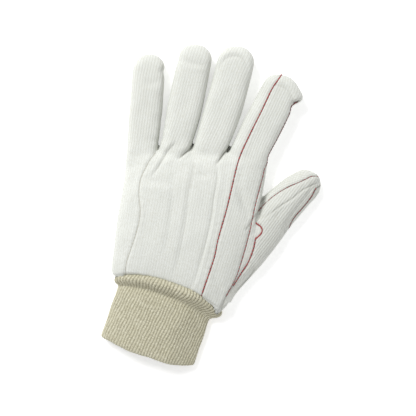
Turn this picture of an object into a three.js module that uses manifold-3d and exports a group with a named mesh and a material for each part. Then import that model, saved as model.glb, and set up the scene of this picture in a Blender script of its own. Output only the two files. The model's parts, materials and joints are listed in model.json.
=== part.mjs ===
// Cotton work glove for the left hand, lying palm down with the back of the hand up.
// A hollow shell of corded cotton, open at the wrist, is cut along its sewn seams into
// cloth panels, and a rib-knit wrist closes the open end. Millimetres and degrees, +Z up.
// The fingers point to +Y and the thumb to +X; the origin is under the middle of the glove.
import * as THREE from "three";
import { mergeVertices } from "three/addons/utils/BufferGeometryUtils.js";
import Module from "manifold-3d";

const wasm = await Module();
wasm.setup();

// Driving dimensions of the hand shell.
const PALM_LENGTH = 118; // from the wrist seam to the finger crotches
const PALM_WIDTH = 114;
const PALM_HEIGHT = 26;
const FINGER_LENGTH = 104; // longest finger, with the root that is sunk into the palm
const FINGER_WIDTH = 30;
const FINGER_HEIGHT = 18.5;
const THUMB_LENGTH = 124; // with its base, which runs down to the heel of the hand
const THUMB_WIDTH = 36;
const THUMB_HEIGHT = 17;
const THUMB_LEAN = 45.9; // from the +Y axis towards +X
const CLOTH = 2; // two plies of napped cotton
const SEAM_GAP = 0.3; // between the edges of two panels
const SIDE_SEAM_HEIGHT = 8.5; // seams along the sides of the fingers
const FOLD_DEPTH = 1.5;
const FOLD_WIDTH = 4;

// Driving dimensions of the knit wrist.
const CUFF_LENGTH = 50;
const CUFF_WIDTH = 80;
const CUFF_HEIGHT = 18;
const CUFF_LEAN = 18.3; // the wrist points down and to the little finger's side
const KNIT = 2.2; // wall between the grooves of the ribs
const RIB_PITCH = 2.5;
const RIB_DEPTH = 0.6;
const RIB_TWIST = 7; // the ribs run this far round the wrist between its two ends
const WRIST_BOW = 6; // the seam bows towards the fingers at the middle of the hand
const HEM_BOW = 6; // the hem bows the other way

// How finely the surfaces are faceted.
const PALM_FACETS = { top: 28, under: 8 };
const PALM_LINING_FACETS = { top: 20, under: 6 };
const FINGER_FACETS = { top: 11, under: 6 };
const FINGER_LINING_FACETS = { top: 8, under: 5 };
const CUFF_LINING_FACETS = { top: 14, under: 8 };
const SEAM_STEPS = 2; // straight steps of a seam between two of its points

// Shape of a cloth tube's cross-section: a crowned upper side over a flattened lower one.
const EQUATOR = 0.42; // height of the widest point, as a share of the whole height
const CROWN = 2.3; // superellipse exponent, where 2 is an ellipse and more is squarer
const PALM_CROWN = 2.6;
const UNDER = 4;
const PALM_UNDER = 6;
const SINK = 0.5; // the lower side is rounded to here and then flattened by the ground

// Palm sections from the wrist to the knuckles. along is a share of PALM_LENGTH, across and
// wide of PALM_WIDTH, high of PALM_HEIGHT and bow of WRIST_BOW; turn is in degrees.
const PALM_SECTIONS = [
  { along: 0.022, across: 0.004, wide: 0.818, high: 0.8, turn: -18.5, bow: 1 },
  { along: 0.1, across: 0.028, wide: 0.87, high: 0.87, turn: -15.8, bow: 0.7 },
  { along: 0.229, across: 0.07, wide: 0.918, high: 0.94, turn: -12.6, bow: 0.4 },
  { along: 0.375, across: 0.11, wide: 0.96, high: 0.99, turn: -10.3, bow: 0.1 },
  { along: 0.518, across: 0.146, wide: 0.99, high: 1, turn: -7.9, bow: 0 },
  { along: 0.66, across: 0.175, wide: 0.995, high: 1, turn: -5.8, bow: 0 },
  { along: 0.79, across: 0.2, wide: 1, high: 0.96, turn: -4.1, bow: 0 },
  { along: 0.88, across: 0.216, wide: 1.003, high: 0.9, turn: -2.5, bow: 0 },
  { along: 0.94, across: 0.222, wide: 1, high: 0.83, turn: -1.2, bow: 0 },
  { along: 0.985, across: 0.222, wide: 0.96, high: 0.64, turn: -1, bow: 0 },
];

// Finger sections from root to tip. along is a share of the finger's length, wide of its
// width, high and lift of its height; lift is where its lower side leaves the ground.
const FINGER_SECTIONS = [
  { along: 0, wide: 0.74, high: 0.86, lift: 0.3 },
  { along: 0.14, wide: 0.85, high: 1.08, lift: 0 },
  { along: 0.28, wide: 0.93, high: 1.06, lift: 0 },
  { along: 0.45, wide: 1, high: 1.02, lift: 0 },
  { along: 0.7, wide: 1, high: 0.98, lift: 0 },
  { along: 0.84, wide: 0.97, high: 0.96, lift: 0.01 },
  { along: 0.92, wide: 0.87, high: 0.9, lift: 0.05 },
  { along: 0.97, wide: 0.65, high: 0.76, lift: 0.16 },
  { along: 0.995, wide: 0.32, high: 0.6, lift: 0.32 },
];

// The little, ring, middle and index finger. across and along place the root as shares of the
// palm, lean is the direction there and bend its change towards the tip. long, wide and high
// are shares of the driving sizes, and base is the width that is added at the root.
const FINGERS = [
  { across: -0.195, along: 0.848, lean: 6.8, bend: -4, long: 0.942, wide: 0.88, high: 0.94, base: 0.1 },
  { across: 0.016, along: 0.876, lean: 16.3, bend: -7, long: 1, wide: 0.94, high: 1, base: 0 },
  { across: 0.258, along: 0.896, lean: 23, bend: -12, long: 0.975, wide: 1.02, high: 1.03, base: 0 },
  { across: 0.535, along: 0.87, lean: 25.5, bend: 3, long: 0.815, wide: 1.05, high: 1.03, base: 0.22 },
];

// Thumb sections, in the thumb's own direction, from the heel of the hand to the tip.
const THUMB_SECTIONS = [
  { along: 0, across: 0, wide: 1.257, high: 0.95, lift: 0, turn: 2.4 },
  { along: 0.178, across: -0.026, wide: 1.235, high: 1.02, lift: 0, turn: -6.6 },
  { along: 0.363, across: -0.012, wide: 1.131, high: 1.06, lift: 0, turn: -9.7 },
  { along: 0.55, across: -0.055, wide: 1.03, high: 1.06, lift: 0, turn: -9 },
  { along: 0.662, across: -0.078, wide: 0.935, high: 1.04, lift: 0, turn: -10 },
  { along: 0.782, across: -0.092, wide: 0.84, high: 1, lift: 0, turn: -3.5 },
  { along: 0.875, across: -0.092, wide: 0.742, high: 0.94, lift: 0.02, turn: -1.6 },
  { along: 0.943, across: -0.069, wide: 0.565, high: 0.86, lift: 0.1, turn: -2.3 },
  { along: 0.98, across: -0.04, wide: 0.36, high: 0.72, lift: 0.22, turn: -1.9 },
  { along: 0.996, across: -0.02, wide: 0.16, high: 0.58, lift: 0.36, turn: -1.9 },
];

// Wrist sections from the rolled seam to the hem. along is a share of CUFF_LENGTH, wide of
// CUFF_WIDTH, high and lift of CUFF_HEIGHT; bow blends from WRIST_BOW at 1 to HEM_BOW at 0.
const CUFF_SECTIONS = [
  { along: 0.07, wide: 1.175, high: 1.26, lift: 0, turn: -18.8, bow: 0.93 },
  { along: 0.13, wide: 1.12, high: 1.18, lift: 0, turn: -19.4, bow: 0.87 },
  { along: 0.17, wide: 1.0, high: 0.98, lift: 0.05, turn: -20, bow: 0.83 },
  { along: 0.27, wide: 0.99, high: 1, lift: 0.02, turn: -19.6, bow: 0.73 },
  { along: 0.6, wide: 0.995, high: 1, lift: 0, turn: -18, bow: 0.4 },
  { along: 1, wide: 0.985, high: 0.96, lift: 0, turn: -16, bow: 0 },
];

// Seams seen from above. Each point is across and along the palm, in shares of its sizes.
const LITTLE_SEAM = [
  [0.022, 1.793], [-0.002, 1.348], [-0.05, 1.13], [-0.065, 1.015], [-0.129, 0.91], [-0.18, 0.799],
  [-0.19, 0.702], [-0.18, 0.577], [-0.194, 0.493], [-0.237, 0.354], [-0.281, 0.229],
  [-0.291, 0.132], [-0.309, -0.06],
];
const INDEX_SEAM = [
  [0.87, 1.654], [0.824, 1.529], [0.76, 1.436], [0.683, 1.281], [0.601, 1.122], [0.521, 0.949],
  [0.486, 0.825], [0.432, 0.605], [0.367, 0.382], [0.345, 0.276], [0.275, 0.072], [0.209, -0.125],
];
const EDGE_SEAM = [
  [1.043, 1.654], [1.043, 1.383], [0.942, 1.154], [0.813, 1.015], [0.714, 0.905], [0.688, 0.817],
  [0.638, 0.639], [0.592, 0.435], [0.532, 0.222], [0.496, 0.125], [0.409, -0.035], [0.338, -0.167],
];
const LOOP_SEAM = [
  [0.93, 0.95], [0.8, 0.79], [0.691, 0.674], [0.651, 0.57], [0.642, 0.502], [0.679, 0.475], [0.686, 0.448],
  [0.67, 0.422], [0.638, 0.395], [0.624, 0.329], [0.583, 0.227], [0.537, 0.16], [0.486, 0.081],
  [0.432, 0], [0.367, -0.167],
];

// Thumb seams. Each point is along and across the thumb, in shares of its sizes.
const THUMB_UPPER_SEAM = [
  [1.06, 0.2], [1, -0.02], [0.972, -0.12], [0.936, -0.161], [0.883, -0.225], [0.818, -0.309],
  [0.755, -0.368], [0.694, -0.403], [0.627, -0.414], [0.555, -0.395], [0.42, -0.3],
];
const THUMB_LOWER_SEAM = [
  [1.04, 0.22], [0.966, 0.171], [0.932, 0.15], [0.886, 0.203], [0.832, 0.237], [0.774, 0.256],
  [0.707, 0.276], [0.648, 0.34], [0.599, 0.5], [0.56, 1],
];

// Creases in the back of the hand, across and along the palm. deep is a share of FOLD_DEPTH
// and wide of FOLD_WIDTH; a negative depth is a ridge.
const FOLDS = [
  { from: [0.36, 0.91], to: [0.302, 0.479], deep: 1, wide: 0.8 },
  { from: [0.302, 0.479], to: [0.173, 0.056], deep: 1, wide: 0.8 },
  { from: [0.201, 0.91], to: [0.144, 0.549], deep: 0.6, wide: 1 },
  { from: [0.144, 0.549], to: [0.058, 0.111], deep: 0.7, wide: 1 },
  { from: [0.05, 0.771], to: [-0.029, 0.16], deep: 0.4, wide: 1 },
  { from: [0.173, 1.06], to: [0.058, 0.91], deep: 1.2, wide: 1 },
  { from: [0.12, 1.06], to: [-0.05, 0.86], deep: -0.8, wide: 1 },
  { from: [0.058, 1.035], to: [-0.101, 0.834], deep: 0.8, wide: 0.8 },
  { from: [0.439, 1.03], to: [0.36, 0.91], deep: 1.2, wide: 1 },
  { from: [-0.158, 0.799], to: [0.058, 0.771], deep: 0.5, wide: 1.2 },
  { from: [1.05, 0.744], to: [0.705, 0.563], deep: 0.6, wide: 1 },
];

// Builds a THREE.BufferGeometry's triangles into a solid that booleans can use.
function solidFrom(geometry) {
  const bare = geometry.clone();
  bare.deleteAttribute("normal");
  bare.deleteAttribute("uv");
  const merged = mergeVertices(bare, 1e-4);
  return new wasm.Manifold(
    new wasm.Mesh({
      numProp: 3,
      vertProperties: merged.attributes.position.array,
      triVerts: new Uint32Array(merged.index.array),
    }),
  );
}

// Builds a solid back into a geometry with flat faces.
function geometryFrom(solid) {
  const mesh = solid.getMesh();
  const positions = new Float32Array(mesh.numVert * 3);
  for (let i = 0; i < mesh.numVert; i++) {
    positions.set(mesh.vertProperties.subarray(i * mesh.numProp, i * mesh.numProp + 3), i * 3);
  }
  const geometry = new THREE.BufferGeometry();
  geometry.setAttribute("position", new THREE.BufferAttribute(positions, 3));
  geometry.setIndex(new THREE.BufferAttribute(mesh.triVerts, 1));
  const flat = geometry.toNonIndexed();
  flat.computeVertexNormals();
  return flat;
}

// Skins a list of rings, each with as many points, and closes both ends with a fan.
function skin(rings) {
  const count = rings[0].points.length;
  const vertices = rings.flatMap((ring) => ring.points);
  const triangles = [];
  for (let r = 0; r + 1 < rings.length; r++) {
    for (let i = 0; i < count; i++) {
      const a = r * count + i;
      const b = r * count + ((i + 1) % count);
      triangles.push(a, b + count, b, a, a + count, b + count);
    }
  }
  const start = vertices.push(rings[0].middle) - 1;
  const end = vertices.push(rings[rings.length - 1].middle) - 1;
  const last = (rings.length - 1) * count;
  for (let i = 0; i < count; i++) {
    const next = (i + 1) % count;
    triangles.push(start, i, next, end, last + next, last + i);
  }
  const geometry = new THREE.BufferGeometry().setFromPoints(vertices);
  geometry.setIndex(triangles);
  return geometry;
}

// Half of a cross-section's outline, from one side over to the other. Its steps are shorter
// where the outline turns.
function halfOutline(steps, width, rise, exponent) {
  const FINE = 240;
  const outline = Array.from({ length: FINE + 1 }, (_, i) => {
    const angle = (Math.PI * i) / FINE;
    const x = Math.cos(angle);
    return new THREE.Vector2(
      (width / 2) * Math.sign(x) * Math.abs(x) ** (2 / exponent),
      rise * Math.sin(angle) ** (2 / exponent),
    );
  });
  const travelled = [0];
  outline.slice(1).forEach((p, i) => travelled.push(travelled[i] + p.distanceTo(outline[i]) + width / FINE));
  return Array.from({ length: steps }, (_, k) => {
    const wanted = (travelled[FINE] * k) / steps;
    const i = Math.max(1, travelled.findIndex((t) => t >= wanted));
    const share = (wanted - travelled[i - 1]) / (travelled[i] - travelled[i - 1]);
    return outline[i - 1].clone().lerp(outline[i], share);
  });
}

// One ring of a tube. It stands upright on the line through its centre at the angle turn,
// reaches from bottom to top, and bows along the tube towards its middle.
function ringAt({ centre, turn, width, bottom, top, bow, facets, crown, under, drop }) {
  const angle = turn * THREE.MathUtils.DEG2RAD;
  const across = new THREE.Vector2(Math.cos(angle), Math.sin(angle));
  const onward = new THREE.Vector2(-across.y, across.x);
  const equator = bottom + EQUATOR * (top - bottom);
  const upper = halfOutline(facets.top, width, top - equator, crown);
  const lower = halfOutline(facets.under, width, equator - bottom, under);
  const outline = [
    ...upper.map((p) => [p.x, equator + p.y, p.y / (top - equator)]),
    ...lower.map((p) => [-p.x, equator - p.y, 0]),
  ];
  const points = outline.map(([x, z, crownShare]) => {
    const forward = bow * (1 - (2 * x / width) ** 2);
    const place = centre.clone().addScaledVector(across, x).addScaledVector(onward, forward);
    return new THREE.Vector3(place.x, place.y, z - crownShare * drop(place));
  });
  const middle = centre.clone().addScaledVector(onward, bow);
  return { points, middle: new THREE.Vector3(middle.x, middle.y, equator) };
}

// The direction that leans from +Y towards +X.
function leaning(degrees) {
  const angle = degrees * THREE.MathUtils.DEG2RAD;
  return new THREE.Vector2(Math.sin(angle), Math.cos(angle));
}

// A place on the palm, from shares of its sizes.
function onPalm([across, along]) {
  return new THREE.Vector2(across * PALM_WIDTH, along * PALM_LENGTH);
}

const THUMB_ROOT = onPalm([0.309, 0.09]);

// A place on the thumb, from shares of its sizes.
function onThumb([along, across]) {
  const ahead = leaning(THUMB_LEAN);
  const aside = new THREE.Vector2(ahead.y, -ahead.x);
  return THUMB_ROOT.clone()
    .addScaledVector(ahead, along * THUMB_LENGTH)
    .addScaledVector(aside, across * THUMB_WIDTH);
}

// How far the creases draw the cloth down at a place, with even sides and soft ends.
function foldDrop(place) {
  return FOLDS.reduce((sum, fold) => {
    const from = onPalm(fold.from);
    const line = onPalm(fold.to).sub(from);
    const share = THREE.MathUtils.clamp(place.clone().sub(from).dot(line) / line.lengthSq(), 0, 1);
    const away = place.distanceTo(from.addScaledVector(line, share));
    return sum + fold.deep * FOLD_DEPTH * Math.exp(-((away / (fold.wide * FOLD_WIDTH)) ** 2));
  }, 0);
}

// The palm as a closed solid, drawn in on every side by inset.
function palmSolid(inset) {
  const rings = PALM_SECTIONS.map((row) =>
    ringAt({
      centre: onPalm([row.across, row.along * (1 - inset / PALM_LENGTH)]),
      turn: row.turn,
      width: row.wide * PALM_WIDTH - 2 * inset,
      bottom: inset - SINK,
      top: row.high * PALM_HEIGHT - inset,
      bow: row.bow * WRIST_BOW,
      facets: inset > 0 ? PALM_LINING_FACETS : PALM_FACETS,
      crown: PALM_CROWN,
      under: PALM_UNDER,
      drop: foldDrop,
    }),
  );
  if (inset > 0) {
    rings.unshift(shifted(rings[0], leaning(CUFF_LEAN).multiplyScalar(-CLOTH)));
  }
  return aboveGround(solidFrom(skin(rings)), inset);
}

// A ring moved sideways, which carries a hollow out through the end of its wall.
function shifted(ring, by) {
  const move = (p) => new THREE.Vector3(p.x + by.x, p.y + by.y, p.z);
  return { points: ring.points.map(move), middle: move(ring.middle) };
}

// A finger as a closed solid.
function fingerSolid(finger, inset) {
  const root = onPalm([finger.across, finger.along]);
  const length = finger.long * FINGER_LENGTH;
  const width = finger.wide * FINGER_WIDTH;
  const height = finger.high * FINGER_HEIGHT - 2 * inset;
  const rings = FINGER_SECTIONS.map((row) => ({
    centre: leaning(finger.lean + (finger.bend * row.along) / 2)
      .multiplyScalar(inset + row.along * (length - 2 * inset))
      .add(root),
    turn: -(finger.lean + finger.bend * row.along),
    width: row.wide * (width - 2 * inset) + finger.base * width * (1 - row.along) ** 4,
    bottom: row.lift > 0 ? inset + row.lift * height : inset - SINK,
    top: inset + row.high * height,
    bow: 0,
    facets: inset > 0 ? FINGER_LINING_FACETS : FINGER_FACETS,
    crown: CROWN,
    under: UNDER,
    drop: foldDrop,
  })).map(ringAt);
  return aboveGround(solidFrom(skin(rings)), inset);
}

// The thumb as a closed solid.
function thumbSolid(inset) {
  const height = THUMB_HEIGHT - 2 * inset;
  const rings = THUMB_SECTIONS.map((row) => ({
    centre: onThumb([(inset + row.along * (THUMB_LENGTH - 2 * inset)) / THUMB_LENGTH, row.across]),
    turn: row.turn - THUMB_LEAN,
    width: row.wide * (THUMB_WIDTH - 2 * inset),
    bottom: row.lift > 0 ? inset + row.lift * height : inset - SINK,
    top: inset + row.high * height,
    bow: 0,
    facets: inset > 0 ? FINGER_LINING_FACETS : FINGER_FACETS,
    crown: CROWN,
    under: UNDER,
    drop: foldDrop,
  })).map(ringAt);
  return aboveGround(solidFrom(skin(rings)), inset);
}

// Flattens a solid where it lies on the ground, or on the cloth that lies on it.
function aboveGround(solid, height) {
  const slab = new THREE.BoxGeometry(4 * PALM_LENGTH, 6 * PALM_LENGTH, PALM_HEIGHT);
  slab.translate(0, 0, height - PALM_HEIGHT / 2);
  return solid.subtract(solidFrom(slab));
}

function joined(solids) {
  return solids.reduce((all, solid) => all.add(solid));
}

// The whole hand, as one hollow shell that is open at the wrist.
function handShell() {
  const hand = (inset) =>
    joined([palmSolid(inset), thumbSolid(inset), ...FINGERS.map((f) => fingerSolid(f, inset))]);
  return hand(0).subtract(hand(CLOTH));
}

// A seam's line, smooth through its points.
function seamLine(points, place) {
  const curve = new THREE.CatmullRomCurve3(
    points.map((p) => place(p)).map((v) => new THREE.Vector3(v.x, v.y, 0)),
    false,
    "centripetal",
  );
  return curve.getPoints((points.length - 1) * SEAM_STEPS).map((v) => new THREE.Vector2(v.x, v.y));
}

// An upright solid over an outline, from bottom to above the hand.
function prism(outline, bottom) {
  const geometry = new THREE.ExtrudeGeometry(new THREE.Shape(outline), {
    depth: 2 * PALM_HEIGHT - bottom,
    bevelEnabled: false,
  });
  geometry.translate(0, 0, bottom);
  return solidFrom(geometry);
}

// An upright blade along a seam, as thick as the gap between the two panels that it parts.
function blade(line, bottom) {
  const side = (sign) =>
    line.map((p, i) => {
      const tangent = line[Math.min(i + 1, line.length - 1)].clone().sub(line[Math.max(i - 1, 0)]);
      tangent.setLength((sign * SEAM_GAP) / 2);
      return new THREE.Vector2(p.x - tangent.y, p.y + tangent.x);
    });
  return prism([...side(1), ...side(-1).reverse()], bottom);
}

// The biggest of the pieces that a cut left.
function largest(solid) {
  return solid.decompose().reduce((a, b) => (b.volume() > a.volume() ? b : a));
}

// Cuts the hand shell along its seams into named panels.
function handPanels() {
  const little = seamLine(LITTLE_SEAM, onPalm);
  const index = seamLine(INDEX_SEAM, onPalm);
  const edge = seamLine(EDGE_SEAM, onPalm);
  const loop = seamLine(LOOP_SEAM, onPalm);
  const upper = seamLine(THUMB_UPPER_SEAM, onThumb);
  const lower = seamLine(THUMB_LOWER_SEAM, onThumb);

  const underGround = -PALM_HEIGHT;
  const clearing = SIDE_SEAM_HEIGHT - SEAM_GAP;
  const beyond = PALM_LENGTH + THUMB_LENGTH;
  const littleOutline = [
    ...little,
    new THREE.Vector2(-beyond, little.at(-1).y),
    new THREE.Vector2(-beyond, little[0].y),
  ];
  const backOutline = [...little, ...[...index].reverse()];
  const indexOutline = [...index, ...[...edge].reverse()];
  const thumbOutline = [
    ...loop,
    new THREE.Vector2(beyond, loop.at(-1).y),
    new THREE.Vector2(beyond, beyond / 2),
  ];
  const thumbBackOutline = [
    ...upper,
    new THREE.Vector2(0, upper.at(-1).y),
    new THREE.Vector2(0, loop.at(-1).y),
    new THREE.Vector2(beyond, loop.at(-1).y),
    ...[...lower].reverse(),
  ];

  const upperBlades = joined([little, index, edge, upper, lower].map((line) => blade(line, clearing)));
  const seamed = handShell().subtract(upperBlades).subtract(blade(loop, underGround));
  const thumb = seamed.intersect(prism(thumbOutline, underGround));
  const hand = seamed.subtract(prism(thumbOutline, underGround));
  const front = [littleOutline, backOutline, indexOutline].reduce(
    (left, outline) => left.subtract(prism(outline, clearing)),
    hand,
  );
  return {
    little_side_panel: largest(hand.intersect(prism(littleOutline, SIDE_SEAM_HEIGHT))),
    back_panel: largest(hand.intersect(prism(backOutline, SIDE_SEAM_HEIGHT))),
    index_side_panel: largest(hand.intersect(prism(indexOutline, SIDE_SEAM_HEIGHT))),
    palm_panel: largest(front),
    thumb_back_panel: largest(thumb.intersect(prism(thumbBackOutline, SIDE_SEAM_HEIGHT))),
    thumb_front_panel: largest(thumb.subtract(prism(thumbBackOutline, clearing))),
  };
}

// Rings of the knit wrist, drawn in by inset. Its first ring follows the hand's open end.
function cuffRings(facets, inset) {
  const ahead = leaning(CUFF_LEAN).negate();
  const wrist = PALM_SECTIONS[0];
  const ring = ({ along, width, bottom, top, turn, bow }) =>
    ringAt({
      centre: onPalm([wrist.across, wrist.along]).addScaledVector(ahead, along),
      turn,
      width: width - 2 * inset,
      bottom: bottom > 0 ? bottom + inset : inset - SINK,
      top: top - inset,
      bow: bow * WRIST_BOW - (1 - bow) * HEM_BOW,
      facets,
      crown: CROWN,
      under: UNDER,
      drop: () => 0,
    });
  return [
    ring({
      along: SEAM_GAP,
      width: wrist.wide * PALM_WIDTH,
      bottom: 0,
      top: wrist.high * PALM_HEIGHT,
      turn: wrist.turn,
      bow: 1,
    }),
    ...CUFF_SECTIONS.map((row) =>
      ring({
        along: row.along * CUFF_LENGTH,
        width: row.wide * CUFF_WIDTH,
        bottom: row.lift * CUFF_HEIGHT,
        top: row.high * CUFF_HEIGHT,
        turn: row.turn,
        bow: row.bow,
      }),
    ),
  ];
}

// Raises every other corner of a ring into a rib, and carries the ribs round the wrist.
function ribbed(ring, along) {
  const count = ring.points.length;
  const step = (along * RIB_TWIST) / (RIB_PITCH / 2);
  const at = (i) => ring.points[((i % count) + count) % count];
  const points = ring.points.map((_, i) => {
    const before = Math.floor(i + step);
    const place = at(before).clone().lerp(at(before + 1), i + step - before);
    const tangent = at(before + 2).clone().sub(at(before - 1)).normalize();
    const outward = place.clone().sub(ring.middle).projectOnPlane(tangent).normalize();
    return place.addScaledVector(outward, i % 2 ? RIB_DEPTH : 0);
  });
  return { points, middle: ring.middle };
}

// The rib-knit wrist: a rolled collar, a neck under it, and an open tube.
function knitWrist() {
  const ribs = Math.round((CUFF_WIDTH + CUFF_HEIGHT * (Math.PI / 2 - 1)) / RIB_PITCH);
  const outer = cuffRings({ top: 2 * ribs, under: 2 * ribs }, 0);
  const alongs = [0, ...CUFF_SECTIONS.map((row) => row.along)];
  const outside = solidFrom(skin(outer.map((ring, i) => ribbed(ring, alongs[i])).reverse()));
  const inner = cuffRings(CUFF_LINING_FACETS, KNIT);
  const ahead = leaning(CUFF_LEAN).negate();
  inner.unshift(shifted(inner[0], ahead.clone().multiplyScalar(-KNIT)));
  inner.push(shifted(inner.at(-1), ahead.clone().multiplyScalar(KNIT)));
  const hollow = solidFrom(skin(inner.reverse()));
  return aboveGround(outside, 0).subtract(aboveGround(hollow, KNIT));
}

const cotton = new THREE.MeshStandardMaterial({ color: "#e6e6dd", roughness: 0.95, metalness: 0 });
const knit = new THREE.MeshStandardMaterial({ color: "#cbc5a6", roughness: 0.95, metalness: 0 });

const solids = { ...handPanels(), knit_wrist: knitWrist() };
const bounds = new THREE.Box3();
for (const solid of Object.values(solids)) {
  const box = solid.boundingBox();
  bounds.union(new THREE.Box3(new THREE.Vector3(...box.min), new THREE.Vector3(...box.max)));
}
const middle = bounds.getCenter(new THREE.Vector3());

const glove = new THREE.Group();
for (const [name, solid] of Object.entries(solids)) {
  const mesh = new THREE.Mesh(geometryFrom(solid), name === "knit_wrist" ? knit : cotton);
  mesh.name = name;
  mesh.position.set(-middle.x, -middle.y, -bounds.min.z);
  glove.add(mesh);
}

export default glove;
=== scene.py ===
"""Looks of a cotton work glove lying palm down: corded cotton panels, knit wrist and stitching."""
import json
import math

import bpy
import numpy as np
import openvdb
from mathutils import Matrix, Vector
from mathutils.bvhtree import BVHTree

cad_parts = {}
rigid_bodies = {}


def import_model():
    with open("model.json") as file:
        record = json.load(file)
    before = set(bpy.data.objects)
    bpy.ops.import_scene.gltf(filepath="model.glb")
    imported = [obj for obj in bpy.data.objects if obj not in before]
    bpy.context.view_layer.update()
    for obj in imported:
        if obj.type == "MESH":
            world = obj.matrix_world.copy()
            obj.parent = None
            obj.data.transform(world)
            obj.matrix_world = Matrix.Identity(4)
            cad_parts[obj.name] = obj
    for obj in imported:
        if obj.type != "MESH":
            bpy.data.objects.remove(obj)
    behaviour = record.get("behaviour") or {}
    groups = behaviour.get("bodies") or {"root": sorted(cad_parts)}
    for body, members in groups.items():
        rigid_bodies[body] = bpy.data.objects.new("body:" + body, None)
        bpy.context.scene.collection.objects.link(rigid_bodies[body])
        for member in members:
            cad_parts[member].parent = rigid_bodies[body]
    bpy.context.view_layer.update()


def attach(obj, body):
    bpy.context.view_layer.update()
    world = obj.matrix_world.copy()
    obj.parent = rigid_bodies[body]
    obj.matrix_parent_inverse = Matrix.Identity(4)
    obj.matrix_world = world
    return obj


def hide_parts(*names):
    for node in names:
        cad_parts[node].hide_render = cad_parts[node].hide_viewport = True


for thing in list(bpy.data.objects):
    bpy.data.objects.remove(thing)

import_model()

MM = 0.001
TURN = 2 * math.pi

# Sizes in millimetres. The hand's own axes start at the wrist.
HAND_ORIGIN = np.array([36.094, 74.543])  # the point under the glove's middle, in the hand's axes
PALM_LENGTH = 118.0
PALM_WIDTH = 114.0
PALM_HEIGHT = 26.0
FINGER_LENGTH = 104.0
FINGER_WIDTH = 30.0
FINGER_HEIGHT = 18.5
THUMB_LENGTH = 124.0
THUMB_WIDTH = 36.0
THUMB_HEIGHT = 17.0
THUMB_LEAN = 45.9
TIP = 13.0  # length of a fingertip's rounding
CLOTH = 1.7  # thickness of the panels
SIDE_SEAM_HEIGHT = 8.5
CUFF_LENGTH = 50.0
CUFF_WIDTH = 80.0
CUFF_HEIGHT = 18.0
CUFF_LEAN = 18.3
RIB_PITCH = 2.5
RIB_DEPTH = 0.65
RIB_TWIST = 7.0  # how far a rib runs round the wrist from end to end
WRIST_BOW = 6.0  # how far the middle of the wrist's seam lies towards the fingers
TURNED_IN = 6.0  # cloth that runs on past the wrist's seam, inside the roll
ROLL_RISE = 3.6  # how far the roll of the wrist is pushed up over the cloth in the middle
HEM_BOW = 4.4  # how far the middle of the hem bows away from the hand
HEM_SLANT = 2.4  # how much further the hem reaches on the thumb's side
THUMB_SIDE_FALL = 0.32  # share of its height that the knit loses at its thumb side

# Every section is widest at EQUATOR of its height. The others are the powers of its curves:
# the crowns above that line, and those named under below it.
EQUATOR = 0.42
FINGER_CROWN = 4.0
THUMB_CROWN = 2.1
PALM_CROWN = 3.1
KNIT_CROWN = 2.05
UNDER = 4.0
PALM_UNDER = 6.0
SINK = 0.5  # how far they reach under the floor, before they are cut flat on it

# Patterns of the cloth, the knit and the lines on them, in millimetres.
CORD_PITCH = 2.1
CORD_DEPTH = 0.17
PLY_PITCH = 1.9  # of the twist in a cord
LOOP_PITCH = 1.6  # of the knit's loops along a rib
LOOP_SLANT = 1.8
LOOP_DEPTH = 0.24
SHADE_LINE_WIDTH = 0.55  # of the painted shade line along a seam or a sharp fold
SEAM_RIDGE = 2.4  # from a seam to the ridge beside it
STITCH_PUCKER = 6.3  # from one pucker beside a seam to the next
GATHER_PITCH = 7.5  # from one gather at the wrist to the next

VOXEL = 0.85  # of the cloth shell's mesh
AROUND = 8  # points round each rib of the knit

# along, across, wide, high, turn, bow
PALM_SECTIONS = [
    (0.022, 0.004, 0.818, 0.80, -18.5, 1.0),
    (0.100, 0.028, 0.870, 0.87, -15.8, 0.7),
    (0.229, 0.070, 0.918, 0.94, -12.6, 0.4),
    (0.375, 0.110, 0.960, 0.99, -10.3, 0.1),
    (0.518, 0.146, 0.990, 1.00, -7.9, 0.0),
    (0.660, 0.175, 0.995, 1.00, -5.8, 0.0),
    (0.790, 0.200, 1.000, 0.96, -4.1, 0.0),
    (0.880, 0.216, 1.003, 0.90, -2.5, 0.0),
    (0.940, 0.222, 1.000, 0.83, -1.2, 0.0),
    (0.985, 0.222, 0.960, 0.64, -1.0, 0.0),
]

# along, wide, high
FINGER_SECTIONS = [
    (0.00, 0.74, 0.86),
    (0.14, 0.85, 1.08),
    (0.28, 0.93, 1.06),
    (0.45, 1.00, 1.02),
    (0.70, 1.00, 0.98),
    (0.84, 1.00, 0.97),
    (1.00, 1.00, 0.96),
]

# across, along, lean, bend, long, wide, high, base
FINGERS = {
    "little": (-0.195, 0.848, 6.8, -4.0, 0.942, 0.88, 0.94, 0.10),
    "ring": (0.016, 0.876, 16.3, -7.0, 1.000, 0.94, 1.00, 0.0),
    "middle": (0.258, 0.896, 23.0, -12.0, 0.975, 1.02, 1.03, 0.0),
    "index": (0.535, 0.870, 25.5, 3.0, 0.815, 1.05, 1.03, 0.22),
}

# along, across, wide, high, turn
THUMB_SECTIONS = [
    (0.000, 0.000, 1.257, 0.95, 2.4),
    (0.178, -0.026, 1.235, 1.02, -6.6),
    (0.363, -0.012, 1.131, 1.06, -9.7),
    (0.550, -0.055, 1.030, 1.06, -9.0),
    (0.662, -0.078, 0.935, 1.04, -10.0),
    (0.782, -0.092, 0.850, 1.00, -3.5),
    (0.875, -0.092, 0.800, 0.96, -1.6),
    (1.000, -0.060, 0.760, 0.92, -2.0),
]

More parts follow.
